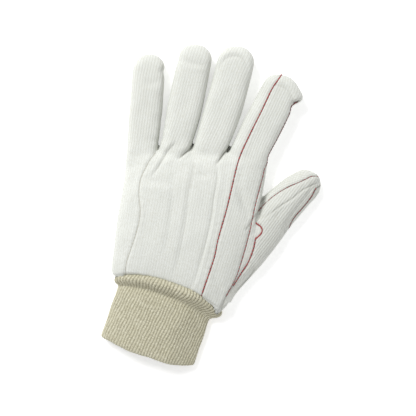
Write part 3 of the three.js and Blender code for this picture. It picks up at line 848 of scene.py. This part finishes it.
def node(tree, kind, inputs=None, **settings):
    """Adds a node with its settings, and returns its outputs.

    Each input, by name or place, gets a value, a link, or several links in a tuple.
    """
    made = tree.nodes.new(kind)
    for key, value in settings.items():
        setattr(made, key, value)
    for key, value in (inputs or {}).items():
        for one in value if isinstance(value, tuple) else (value,):
            if isinstance(one, bpy.types.NodeSocket):
                tree.links.new(one, made.inputs[key])
            else:
                made.inputs[key].default_value = one
    return made.outputs


MATH = "ShaderNodeMath"
MIX = "ShaderNodeMix"
NOISE = "ShaderNodeTexNoise"


def new_material(name, roughness, sheen):
    """A matt material. Sheen lightens its edges, as fluff does."""
    material = bpy.data.materials.new(name)
    material.use_nodes = True
    tree = material.node_tree
    shader = tree.nodes["Principled BSDF"]
    shader.inputs["Roughness"].default_value = roughness
    shader.inputs["Sheen Weight"].default_value = sheen
    shader.inputs["Sheen Roughness"].default_value = 0.5
    shader.inputs["Specular IOR Level"].default_value = 0.2
    return material, tree, shader


def grains(tree, sizes):
    """Noise in space for each named row of size in millimetres, detail and roughness."""
    place = node(tree, "ShaderNodeTexCoord")["Object"]
    out = {}
    for name, (size, detail, rough) in sizes.items():
        inputs = {"Vector": place, "Scale": 1 / (size * MM), "Detail": detail, "Roughness": rough}
        out[name] = node(tree, NOISE, inputs)[0]
    return out


def coloured(tree, shader, ground, layers):
    """Lays shades over a ground colour, each by its own share, and gives them to the shader."""
    colour = linear(ground)
    for share, shade in layers:
        inputs = {0: share, 6: colour, 7: linear(shade)}
        colour = node(tree, MIX, inputs, data_type="RGBA")[2]
    tree.links.new(colour, shader.inputs["Base Color"])


# Sizes of the grain in millimetres, then detail and roughness. Single fibres are too fine to
# show, so fuzz and nap are drawn coarser than they are.
COTTON_GRAIN = {
    "wander": (9.0, 2.0, 0.5),  # of the cords to the side
    "fuzz": (0.35, 4.0, 0.7),
    "nap": (1.3, 3.0, 0.7),
    "blotch": (14.0, 3.0, 0.5),
}
KNIT_GRAIN = {
    "fuzz": (0.4, 4.0, 0.7),
    "yarn": (1.5, 3.0, 0.75),
    "blotch": (9.0, 3.0, 0.5),
}
THREAD_GRAIN = {"fibre": (1.2, 2.0, 0.5)}


def cotton_material():
    """Napped cotton woven in cords: the eye sees soft cloth with fine slanting lines, not paint."""
    material, tree, shader = new_material("corded cotton", 0.92, 0.2)
    uv = node(tree, "ShaderNodeUVMap", uv_map="cords")[0]
    flat = node(tree, "ShaderNodeSeparateXYZ", {0: uv})
    # Read here: distance to the nearest seam or sharp fold, strength of the painted shade along it, and
    # how clearly the cords show.
    marks = node(tree, "ShaderNodeAttribute", attribute_name="marks")["Vector"]
    beside, dark, shown = node(tree, "ShaderNodeSeparateXYZ", {0: marks})
    grain = grains(tree, COTTON_GRAIN)

    # Cords, round across and twisted from two plies along. They wander a little to the side.
    inputs = {0: grain["wander"], 1: 0.5, 2: -0.25}
    wander = node(tree, MATH, inputs, operation="MULTIPLY_ADD")[0]
    across = node(tree, MATH, {0: flat[0], 1: CORD_PITCH * MM}, operation="DIVIDE")[0]
    across = node(tree, MATH, {0: across, 1: wander}, operation="ADD")[0]
    wave = node(tree, MATH, {0: across, 1: TURN}, operation="MULTIPLY")[0]
    wave = node(tree, MATH, {0: wave}, operation="SINE")[0]
    cord = node(tree, MATH, {0: wave, 1: 0.5, 2: 0.5}, operation="MULTIPLY_ADD")[0]
    cord = node(tree, MATH, {0: cord, 1: 0.6}, operation="POWER")[0]
    twist = node(tree, MATH, {0: flat[1], 1: PLY_PITCH * MM}, operation="DIVIDE")[0]
    twist = node(tree, MATH, {0: twist, 1: across}, operation="ADD")[0]
    twist = node(tree, MATH, {0: twist, 1: TURN}, operation="MULTIPLY")[0]
    twist = node(tree, MATH, {0: twist}, operation="SINE")[0]
    ply = node(tree, MATH, {0: twist, 1: 0.5, 2: 0.5}, operation="MULTIPLY_ADD")[0]

    # Painted shade: the thin dark line sunk in a seam or a sharp fold, which gives the eye the panels'
    # edges.
    aside = node(tree, MATH, {0: beside, 1: SHADE_LINE_WIDTH}, operation="DIVIDE")[0]
    aside = node(tree, MATH, {0: aside, 1: aside}, operation="MULTIPLY")[0]
    aside = node(tree, MATH, {0: aside, 1: -1.0}, operation="MULTIPLY")[0]
    fade = node(tree, MATH, {0: aside}, operation="EXPONENT")[0]
    line = node(tree, MATH, {0: dark, 1: fade}, operation="MULTIPLY")[0]

    # Relief: cords, fluff and nap. The line of a seam is sunk.
    height = node(tree, MATH, {0: ply, 1: 0.35, 2: cord}, operation="MULTIPLY_ADD")[0]
    height = node(tree, MATH, {0: height, 1: shown}, operation="MULTIPLY")[0]
    height = node(tree, MATH, {0: grain["fuzz"], 1: 1.0, 2: height}, operation="MULTIPLY_ADD")[0]
    height = node(tree, MATH, {0: grain["nap"], 1: 1.6, 2: height}, operation="MULTIPLY_ADD")[0]
    height = node(tree, MATH, {0: line, 1: -2.5, 2: height}, operation="MULTIPLY_ADD")[0]
    inputs = {"Height": height, "Strength": 0.75, "Distance": CORD_DEPTH * MM}
    tree.links.new(node(tree, "ShaderNodeBump", inputs)[0], shader.inputs["Normal"])

    # Shade in the gaps between cords and plies, and flecks where the nap lies thin.
    gap = node(tree, MATH, {0: cord, 1: -0.34, 2: 0.34}, operation="MULTIPLY_ADD")[0]
    gap = node(tree, MATH, {0: gap, 1: shown}, operation="MULTIPLY")[0]
    between = node(tree, MATH, {0: ply, 1: -0.24, 2: 0.24}, operation="MULTIPLY_ADD")[0]
    between = node(tree, MATH, {0: between, 1: shown}, operation="MULTIPLY")[0]
    inputs = {"Value": grain["nap"], "From Min": 0.42, "From Max": 0.70}
    flecks = node(tree, "ShaderNodeMapRange", inputs)[0]
    flecks = node(tree, MATH, {0: flecks, 1: 0.45}, operation="MULTIPLY")[0]
    layers = (
        (grain["blotch"], "#ebede9"),
        (gap, "#bfc0b7"),
        (between, "#c3c4bb"),
        (flecks, "#c9c7b8"),
        # painted shade along seams and sharp folds
        (line, "#77756a"),
    )
    coloured(tree, shader, "#e1e4df", layers)
    return material


def knit_material():
    """Unbleached cotton yarn knitted in ribs: the eye sees stretchy knit, warmer than the cloth."""
    material, tree, shader = new_material("rib knit", 0.95, 0.2)
    uv = node(tree, "ShaderNodeUVMap", uv_map="cords")[0]
    flat = node(tree, "ShaderNodeSeparateXYZ", {0: uv})
    grain = grains(tree, KNIT_GRAIN)

    # Rows of loops that slant down from the middle of each rib to both sides.
    across = node(tree, MATH, {0: flat[0], 1: RIB_PITCH * MM}, operation="DIVIDE")[0]
    in_rib = node(tree, MATH, {0: across, 1: 0.5}, operation="PINGPONG")[0]
    slant = node(tree, MATH, {0: in_rib, 1: LOOP_SLANT * MM}, operation="MULTIPLY")[0]
    row = node(tree, MATH, {0: flat[1], 1: slant}, operation="ADD")[0]
    row = node(tree, MATH, {0: row, 1: LOOP_PITCH * MM}, operation="DIVIDE")[0]
    row = node(tree, MATH, {0: row, 1: TURN}, operation="MULTIPLY")[0]
    row = node(tree, MATH, {0: row}, operation="SINE")[0]
    height = node(tree, MATH, {0: row, 1: 0.5, 2: 0.5}, operation="MULTIPLY_ADD")[0]
    height = node(tree, MATH, {0: grain["fuzz"], 1: 0.8, 2: height}, operation="MULTIPLY_ADD")[0]
    height = node(tree, MATH, {0: grain["yarn"], 1: 1.2, 2: height}, operation="MULTIPLY_ADD")[0]
    inputs = {"Height": height, "Strength": 0.9, "Distance": LOOP_DEPTH * MM}
    tree.links.new(node(tree, "ShaderNodeBump", inputs)[0], shader.inputs["Normal"])

    # Painted shade in the hollows between the ribs, and yarn that changes from dark to pale.
    painted_groove_shade = node(tree, MATH, {0: in_rib, 1: -2.0, 2: 1.0}, operation="MULTIPLY_ADD")[0]
    painted_groove_shade = node(tree, MATH, {0: painted_groove_shade, 1: 2.0}, operation="POWER")[0]
    painted_groove_shade = node(tree, MATH, {0: painted_groove_shade, 1: 0.6}, operation="MULTIPLY")[0]
    inputs = {"Value": grain["yarn"], "From Min": 0.50, "From Max": 0.72}
    dark = node(tree, "ShaderNodeMapRange", inputs)[0]
    dark = node(tree, MATH, {0: dark, 1: 0.75}, operation="MULTIPLY")[0]
    inputs = {"Value": grain["yarn"], "From Min": 0.46, "From Max": 0.28}
    pale = node(tree, "ShaderNodeMapRange", inputs)[0]
    pale = node(tree, MATH, {0: pale, 1: 0.7}, operation="MULTIPLY")[0]
    layers = (
        (grain["blotch"], "#dad6bf"),
        # painted shade in the hollows between the ribs
        (painted_groove_shade, "#8d876f"),
        (dark, "#978f78"),
        (pale, "#ece9d8"),
    )
    coloured(tree, shader, "#ccc8ad", layers)
    return material


def thread_material(name, one, other):
    """Spun sewing thread: a matt shade that changes along it, so each stitch stands out."""
    material, tree, shader = new_material(name, 0.85, 0.0)
    coloured(tree, shader, one, ((grains(tree, THREAD_GRAIN)["fibre"], other),))
    return material


COTTON = cotton_material()
KNIT_MATERIAL = knit_material()
RED = thread_material("red thread", "#964245", "#b06562")
# A darker copy of the red thread: painted shade, for stitches that lie in shade.
RED_IN_PAINTED_SHADE = thread_material("shaded thread", "#7c3436", "#a05254")
# Painted shade: very dark bits between the stitches, where the holes lie in shade, and along the index
# finger's shaded side.
PAINTED_SHADE_THREAD = thread_material("painted_shade_thread", "#553537", "#744648")
WHITE = thread_material("white thread", "#bdb9ab", "#d0cdc2")

# How clearly the cords show, on the hand and on the fingers.
CORDS_SHOWN = {
    "little_side_panel": (0.7, 1.3),
    "back_panel": (0.75, 1.15),
    "index_side_panel": (0.9, 1.15),
    "palm_panel": (0.75, 1.15),
    "thumb_back_panel": (1.6, 1.6),
    "thumb_front_panel": (1.4, 1.4),
}


def cords_shown(name, v):
    """How clearly the cords show through the nap: more on the fingers, most on the thumb."""
    palm, fingers = CORDS_SHOWN[name]
    return palm + (fingers - palm) * smoothstep(v[:, 1], 105, 135)


# The six panels. Each carries values that its material reads: how far a place is from the
# nearest seam or sharp fold, how dark the painted shade along that line is, and how clearly the cords
# show.
for name, (v, t) in panels.items():
    uv = np.stack(cord_coordinates(name, v, t), -1)
    piece = mesh_object("cotton_" + name, v, t, uv)
    offset, weight = painted_shade_lines(v, normals_of(v, t))
    marks = np.stack([offset, weight, cords_shown(name, v)], -1).astype(np.float32)
    attribute = piece.data.attributes.new("marks", "FLOAT_VECTOR", "POINT")
    attribute.data.foreach_set("vector", marks.ravel())
    piece.data.materials.append(COTTON)
    wall = piece.modifiers.new("cloth", "SOLIDIFY")
    wall.thickness = CLOTH * MM
    wall.offset = -1.0
    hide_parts(name)
    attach(piece, "root")

# The knit wrist's outline from inside the hand, over the roll and down to the hem:
# along, wide, high, lift, turn, share of the hand's bow, depth of the ribs, shift sideways.
KNIT_OUTSIDE = [
    (-2.5, 84.0, 17.0, 1.5, -18.5, 1.00, 0.0, 1.0),
    (-1.2, 88.0, 19.6, 0.9, -18.5, 1.00, 0.4, 1.3),
    (0.0, 90.4, 21.6, 0.4, -18.5, 0.99, 1.0, 1.7),
    (1.2, 91.8, 23.0, 0.1, -18.6, 0.98, 1.25, 2.0),
    (2.9, 92.4, 23.9, 0.0, -18.7, 0.95, 1.3, 2.1),
    (4.5, 91.8, 23.6, 0.0, -18.8, 0.92, 1.3, 2.0),
    (5.9, 89.4, 22.2, 0.1, -19.0, 0.89, 1.25, 1.6),
    (7.1, 85.6, 19.8, 0.4, -19.3, 0.87, 1.1, 1.1),
    (8.0, 82.0, 17.4, 0.8, -19.6, 0.85, 0.9, 0.7),
    (8.8, 80.4, 16.0, 1.0, -20.0, 0.83, 0.9, 0.2),
    (9.9, 79.8, 16.4, 0.7, -20.0, 0.81, 1.0, 0.0),
    (12.0, 79.6, 17.5, 0.3, -19.8, 0.77, 1.0, 0.0),
    (17.0, 79.5, 18.1, 0.0, -19.3, 0.68, 1.0, 0.0),
    (30.0, 79.8, 18.0, 0.0, -18.0, 0.40, 1.0, -0.1),
    (42.0, 79.8, 17.7, 0.0, -16.8, 0.16, 1.0, -0.3),
    (48.4, 79.8, 17.6, 0.0, -16.1, 0.03, 0.9, -0.4),
    (49.9, 79.4, 17.0, 0.1, -16.0, 0.00, 0.8, -0.4),
    (50.6, 77.6, 16.0, 0.5, -16.0, -0.01, 0.4, -0.4),
]
# From the hem back up the inside.
KNIT_INSIDE = [
    (50.2, 75.8, 15.2, 0.9, -16.0, 0.0, 0.3, -0.4),
    (48.5, 75.5, 15.2, 1.4, -16.1, 0.02, 0.0, -0.4),
    (30.0, 75.6, 15.9, 1.4, -18.0, 0.40, 0.0, -0.1),
    (12.0, 75.4, 15.4, 1.6, -19.8, 0.77, 0.0, 0.0),
    (4.0, 76.0, 15.2, 1.9, -18.8, 0.92, 0.0, 0.5),
    (-2.5, 79.8, 15.2, 2.6, -18.5, 1.0, 0.0, 0.6),
]


def half_outline(steps, width, rise, exponent):
    """The upper half of a superellipse, from one side to the other, with points at even steps."""
    angle = np.linspace(0, math.pi, 721)
    x = width / 2 * np.sign(np.cos(angle)) * np.abs(np.cos(angle)) ** (2 / exponent)
    p = np.stack([x, rise * np.sin(angle) ** (2 / exponent)], -1)
    run = np.concatenate([[0], np.cumsum(np.linalg.norm(np.diff(p, axis=0), axis=1))])
    wanted = np.linspace(0, run[-1], steps + 1)[:-1]
    return np.stack([np.interp(wanted, run, p[:, k]) for k in (0, 1)], -1)


def knit_ring(along, wide, high, lift, turn, bow, shift, half):
    """One ring of the knit wrist, before its ribs, with twice half points."""
    equator = lift + EQUATOR * (high - lift)
    upper = half_outline(half, wide, high - equator, KNIT_CROWN)
    lower = half_outline(half, wide, equator - lift + SINK, UNDER)
    x = np.concatenate([upper[:, 0], -lower[:, 0]])
    z = np.concatenate([equator + upper[:, 1], equator - lower[:, 1]])
    a = math.radians(turn)
    centre = WRIST - leaning(CUFF_LEAN) * along
    aside = np.clip(2 * x / wide, -1, 1)
    forward = (bow * WRIST_BOW - (1 - bow) * HEM_BOW * (1 + 0.25 * aside)) * (1 - aside**2)
    forward -= (1 - bow) * HEM_SLANT * smoothstep(aside, 0.0, 1.0)
    forward += ROLL_RISE * smoothstep(-along, -16.0, -4.0) * (1 - aside**4)
    # the hem waves a little
    forward += (1 - bow) * (0.3 * np.sin(7.0 * aside + 1.0) + 0.08 * np.sin(21.0 * aside))
    z = z * (1 - THUMB_SIDE_FALL * smoothstep(aside, 0.35, 1.0))
    place = centre + (x + shift)[:, None] * (math.cos(a), math.sin(a))
    place += forward[:, None] * (-math.sin(a), math.cos(a))
    return np.concatenate([place, z[:, None]], 1)


def knit_wrist():
    """The ribbed tube, from inside the hand over the roll to the hem and back up inside."""
    rows = np.array(KNIT_OUTSIDE)
    run = np.concatenate([[0], np.cumsum(np.hypot(np.diff(rows[:, 0]), np.diff(rows[:, 1]) / 2))])
    wanted = np.arange(0, run[-1], 0.65)
    wanted = np.append(wanted, run[-1])
    fine = np.stack([np.interp(wanted, run, column) for column in rows.T], -1)
    kernel = np.array([0.25, 0.5, 0.25])
    for _ in range(2):
        middle = np.stack([np.convolve(column, kernel, "valid") for column in fine.T], -1)
        fine = np.vstack([fine[:1], middle, fine[-1:]])
    every = np.vstack([fine, KNIT_INSIDE])
    half_ribs = round((CUFF_WIDTH + CUFF_HEIGHT * (math.pi / 2 - 1)) / RIB_PITCH)
    half = half_ribs * AROUND
    rings = np.array([knit_ring(*row[:6], row[7], half) for row in every])
    count = 2 * half
    steps = np.linalg.norm(np.diff(rings[:, count // 4], axis=0), axis=1)
    along_run = np.concatenate([[0], np.cumsum(steps)])[:, None]
    tangent = np.roll(rings, -1, 1) - np.roll(rings, 1, 1)
    lengthwise = np.gradient(rings, axis=0)
    outward = np.cross(tangent, lengthwise)
    outward /= np.maximum(np.linalg.norm(outward, axis=2, keepdims=True), 1e-9)
    middle = rings.mean(1, keepdims=True)
    flip = np.sign((outward * (rings - middle)).sum(2).mean())
    outward *= flip
    index = np.arange(count)[None, :]
    share = every[:, 0][:, None] / CUFF_LENGTH
    # The ribs run round slowly and wobble, and the knit between the two ends is slack.
    wobble = 0.10 * np.sin(along_run / 3.1 + index / count * 60)
    phase = index / AROUND - share * RIB_TWIST / RIB_PITCH + wobble
    frac = np.abs((phase % 1.0) * 2 - 1)
    profile = 1 - frac**2.6
    depth = RIB_DEPTH * every[:, 6][:, None]
    slack = 0.35 * np.sin(along_run / 5.3 + 3 * np.sin(index / count * 19.0))
    slack = slack * every[:, 6][:, None]
    rings = rings + outward * (depth * (profile - 0.7) + slack * 0.5)[:, :, None]
    rings[:, :, 2] = np.maximum(rings[:, :, 2], 0.0)
    verts = rings.reshape(-1, 3)
    n = len(every)
    r, c = np.meshgrid(np.arange(n), np.arange(count), indexing="ij")
    beside = (c + 1) % count
    below = (r + 1) % n
    four = [r * count + c, r * count + beside, below * count + beside, below * count + c]
    faces = np.stack(four, -1).reshape(-1, 4)
    uv = np.stack([phase * RIB_PITCH, np.broadcast_to(along_run, phase.shape)], -1).reshape(-1, 2)
    corner = verts[faces]
    volume = np.einsum("ij,ij->i", corner[:, 0], np.cross(corner[:, 1], corner[:, 2])).sum()
    if volume < 0:
        faces = faces[:, ::-1]
    return mesh_object("knit_wrist_ribbed", verts, faces, uv)


wrist = knit_wrist()
wrist.data.materials.append(KNIT_MATERIAL)
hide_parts("knit_wrist")
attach(wrist, "root")


def stitch_group():
    """Stitches along a line: long runs of thread, with short bits between them that are dark where they
    stand for painted shade in the holes.
    """
    tree = bpy.data.node_groups.new("stitches", "GeometryNodeTree")
    face = tree.interface
    face.new_socket("Geometry", in_out="INPUT", socket_type="NodeSocketGeometry")
    for name, value in (("Pitch", 3.0), ("Length", 2.3), ("Thickness", 0.8), ("BetweenLength", 0.8)):
        made = face.new_socket(name, in_out="INPUT", socket_type="NodeSocketFloat")
        made.default_value = value
    for name in ("Thread", "BetweenStitches"):
        face.new_socket(name, in_out="INPUT", socket_type="NodeSocketMaterial")
    face.new_socket("Geometry", in_out="OUTPUT", socket_type="NodeSocketGeometry")
    start = node(tree, "NodeGroupInput")
    curve = node(tree, "GeometryNodeMeshToCurve", {"Mesh": start["Geometry"]})[0]
    pitch = node(tree, MATH, {0: start["Pitch"], 1: MM}, operation="MULTIPLY")[0]
    inputs = {"Curve": curve, "Length": pitch}
    even = node(tree, "GeometryNodeResampleCurve", inputs, mode="LENGTH")[0]
    tangent = node(tree, "GeometryNodeInputTangent")[0]
    inputs = {"Name": "upward"}
    up = node(tree, "GeometryNodeInputNamedAttribute", inputs, data_type="FLOAT_VECTOR")[0]
    turned = node(tree, "FunctionNodeAlignRotationToVector", {"Vector": tangent}, axis="X")[0]
    inputs = {"Rotation": turned, "Vector": up}
    settings = {"axis": "Z", "pivot_axis": "X"}
    turned = node(tree, "FunctionNodeAlignRotationToVector", inputs, **settings)[0]
    # size along, share of the thickness across and upwards, material, shift in pitches
    kinds = (("Length", 1.0, 0.8, "Thread", 0.0), ("BetweenLength", 0.8, 0.7, "BetweenStitches", 0.5))
    parts = []
    for seed, (length, wide, high, material, shift) in enumerate(kinds):
        inputs = {"Segments": 8, "Rings": 6, "Radius": 1.0}
        ball = node(tree, "GeometryNodeMeshUVSphere", inputs)[0]
        long = node(tree, MATH, {0: start[length], 1: 0.5 * MM}, operation="MULTIPLY")[0]
        thick = node(tree, MATH, {0: start["Thickness"], 1: 0.5 * MM}, operation="MULTIPLY")[0]
        across = node(tree, MATH, {0: thick, 1: wide}, operation="MULTIPLY")[0]
        upwards = node(tree, MATH, {0: thick, 1: high}, operation="MULTIPLY")[0]
        size = node(tree, "ShaderNodeCombineXYZ", {"X": long, "Y": across, "Z": upwards})[0]
        stitch = node(tree, "GeometryNodeTransform", {"Geometry": ball, "Scale": size})[0]
        aside = node(tree, MATH, {0: pitch, 1: shift}, operation="MULTIPLY")[0]
        inputs = {0: tangent, "Scale": aside}
        along = node(tree, "ShaderNodeVectorMath", inputs, operation="SCALE")[0]
        moved = node(tree, "GeometryNodeSetPosition", {"Geometry": even, "Offset": along})[0]
        inputs = {"Points": moved, "Instance": stitch, "Rotation": turned}
        placed = node(tree, "GeometryNodeInstanceOnPoints", inputs)[0]
        inputs = {2: 0.88, 3: 1.12, "Seed": 3 + seed}
        vary = node(tree, "FunctionNodeRandomValue", inputs, data_type="FLOAT")[1]
        inputs = {"Instances": placed, "Scale": vary}
        sized = node(tree, "GeometryNodeScaleInstances", inputs)[0]
        real = node(tree, "GeometryNodeRealizeInstances", {"Geometry": sized})[0]
        inputs = {"Geometry": real, "Material": start[material]}
        parts.insert(0, node(tree, "GeometryNodeSetMaterial", inputs)[0])
    joined = node(tree, "GeometryNodeJoinGeometry", {0: tuple(parts)})[0]
    shade = node(tree, "GeometryNodeSetShadeSmooth", {"Geometry": joined})[0]
    node(tree, "NodeGroupOutput", {0: shade})
    return tree


STITCHES = stitch_group()

# All the cloth as one surface, to lay the thread on.
cloth_places = np.vstack([v for v, _ in panels.values()])
firsts = np.cumsum([0] + [len(v) for v, _ in panels.values()])
cloth_faces = np.vstack([t + first for (_, t), first in zip(panels.values(), firsts)])
cloth = BVHTree.FromPolygons(cloth_places.tolist(), cloth_faces.tolist())


def cloth_under(x, y):
    """The cloth's place and outward direction straight below a point, or None where it has none."""
    hit, up, _, _ = cloth.ray_cast(Vector((x, y, 60.0)), Vector((0, 0, -1)))
    return hit, up


def thread(name, line, lowered=0.0, lowest=9.0, **sizes):
    """Stitches laid on the cloth along a line seen from above, down to a lowest height."""
    places, ups = [], []
    for x, y in line:
        hit, up = cloth_under(x, y)
        if hit is None or hit.z < lowest:
            continue
        places.append(np.array(hit) - lowered * np.array(up))
        ups.append(np.array(up))
    places, ups = np.array(places), np.array(ups)
    for _ in range(3):
        places[1:-1] = (places[:-2] + 2 * places[1:-1] + places[2:]) / 4
    mesh = bpy.data.meshes.new(name)
    steps = [(i, i + 1) for i in range(len(places) - 1)]
    mesh.from_pydata(((places - ORIGIN) * MM).tolist(), steps, [])
    attribute = mesh.attributes.new("upward", "FLOAT_VECTOR", "POINT")
    attribute.data.foreach_set("vector", ups.astype(np.float32).ravel())
    obj = bpy.data.objects.new(name, mesh)
    bpy.context.scene.collection.objects.link(obj)
    modifier = obj.modifiers.new("stitches", "NODES")
    modifier.node_group = STITCHES
    for item in STITCHES.interface.items_tree:
        if item.in_out == "INPUT" and item.name in sizes:
            modifier[item.identifier] = sizes[item.name]
    graph = bpy.context.evaluated_depsgraph_get()
    made = bpy.data.meshes.new_from_object(obj.evaluated_get(graph), depsgraph=graph)
    obj.modifiers.remove(modifier)
    obj.data = made
    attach(obj, "root")


def stretch_of(line, first, last):
    """The part of a line between two shares of its length."""
    run = np.concatenate([[0], np.cumsum(np.linalg.norm(np.diff(line, axis=0), axis=1))])
    run /= run[-1]
    return line[(run >= first) & (run <= last)]


def rim(finger, first, last, inset):
    """A line down the thumb's side of a finger, just inside its outline seen from above."""
    across, along, lean, bend, long, *_ = FINGERS[finger]
    root = on_palm((across, along))
    out = []
    for t in np.arange(last, first, -1.5 / FINGER_LENGTH):
        centre = root + leaning(lean + bend * t / 2) * t * long * FINGER_LENGTH
        ahead = leaning(lean + bend * t)
        aside = np.array([ahead[1], -ahead[0]])
        near, far = 4.0, 30.0
        for _ in range(14):
            middle = (near + far) / 2
            hit, _ = cloth_under(*(centre + aside * middle))
            near, far = (middle, far) if hit is not None else (near, middle)
        out.append(centre + aside * (near - inset))
    return np.array(out)


TAB_POINTS = slice(4, 9)  # of the loop seam, where it bulges out as a small tab

# The kinds of thread, in millimetres.
# The very dark bits between stitches of the red threads are painted shade of the holes.
red = dict(Pitch=3.0, Length=2.8, Thickness=1.3, BetweenLength=1.4, Thread=RED, BetweenStitches=PAINTED_SHADE_THREAD)
thin = dict(Pitch=3.0, Length=2.3, Thickness=0.85, BetweenLength=1.0, Thread=RED, BetweenStitches=PAINTED_SHADE_THREAD)
# dark: the thumb's seams, their thread drawn darker as painted shade
dark = dict(Pitch=3.0, Length=1.9, Thickness=0.85, BetweenLength=1.7, Thread=RED_IN_PAINTED_SHADE, BetweenStitches=PAINTED_SHADE_THREAD)
seam_in_painted_shade = dict(Pitch=3.0, Length=2.8, Thickness=1.5, BetweenLength=1.6, Thread=PAINTED_SHADE_THREAD, BetweenStitches=RED_IN_PAINTED_SHADE)
solid = dict(Pitch=1.5, Length=2.4, Thickness=1.35, BetweenLength=0.3, Thread=RED, BetweenStitches=RED)
white = dict(Pitch=2.9, Length=2.4, Thickness=0.55, BetweenLength=1.0, Thread=WHITE, BetweenStitches=WHITE)
thread("index_seam_thread", SEAMS["index"], 0.0, **red)
thread("edge_seam_thread", stretch_of(SEAMS["edge"], 0.0, 0.9), 0.0, **thin)
# Down the index finger's side: stitches of the edge seam, drawn very dark as painted shade of that side.
thread("index_side_seam_painted_shade", rim("index", 0.16, 0.83, 0.8), 0.2, 3.0, **seam_in_painted_shade)
thread("thumb_tab_thread", spline(on_palm(LOOP_SEAM[TAB_POINTS])), 0.0, **solid)
thread("thumb_base_thread", spline(on_palm(LOOP_SEAM[TAB_POINTS.stop - 1 : -2])), 0.0, **red)
thread("thumb_upper_thread", stretch_of(SEAMS["upper"], 0.08, 0.80), 0.1, **dark)
thread("thumb_lower_thread", stretch_of(SEAMS["lower"], 0.165, 0.78), 0.1, **{**dark, "Thickness": 1.1})
thread("little_seam_thread", SEAMS["little"], 0.05, **white)

# Floor, light and camera. The floor glows a little, so that it stays nearly white.
bpy.ops.mesh.primitive_plane_add(size=6.0)
floor = bpy.context.object
floor.name = "floor"
floor_material, floor_tree, floor_shader = new_material("pale floor", 0.9, 0.0)
floor_shader.inputs["Base Color"].default_value = linear("#fbfbfb")
floor_shader.inputs["Emission Color"].default_value = linear("#ffffff")
floor_shader.inputs["Emission Strength"].default_value = 0.35
floor.data.materials.append(floor_material)

scene = bpy.context.scene
scene.view_settings.view_transform = "Standard"
world = bpy.data.worlds.new("studio")
scene.world = world
world.use_nodes = True
background = world.node_tree.nodes["Background"]
background.inputs["Color"].default_value = linear("#ffffff")
background.inputs["Strength"].default_value = 0.61


def softbox(name, place, size, power):
    """A round soft light that points at the glove."""
    light = bpy.data.lights.new(name, "AREA")
    light.shape = "DISK"
    light.size = size
    light.energy = power
    obj = bpy.data.objects.new(name, light)
    obj.location = place
    obj.rotation_euler = (-Vector(place)).to_track_quat("-Z", "Y").to_euler()
    scene.collection.objects.link(obj)


softbox("key light", (-0.75, 1.0, 1.15), 0.8, 19.5)

CAMERA_PLACE = (-0.00205, -0.00287, 0.816)  # straight above, so that the photo's outline fits
camera_data = bpy.data.cameras.new("camera")
camera_data.lens = 85.0
camera_data.sensor_width = 36.0
camera = bpy.data.objects.new("camera", camera_data)
camera.location = CAMERA_PLACE
scene.collection.objects.link(camera)
scene.camera = camera
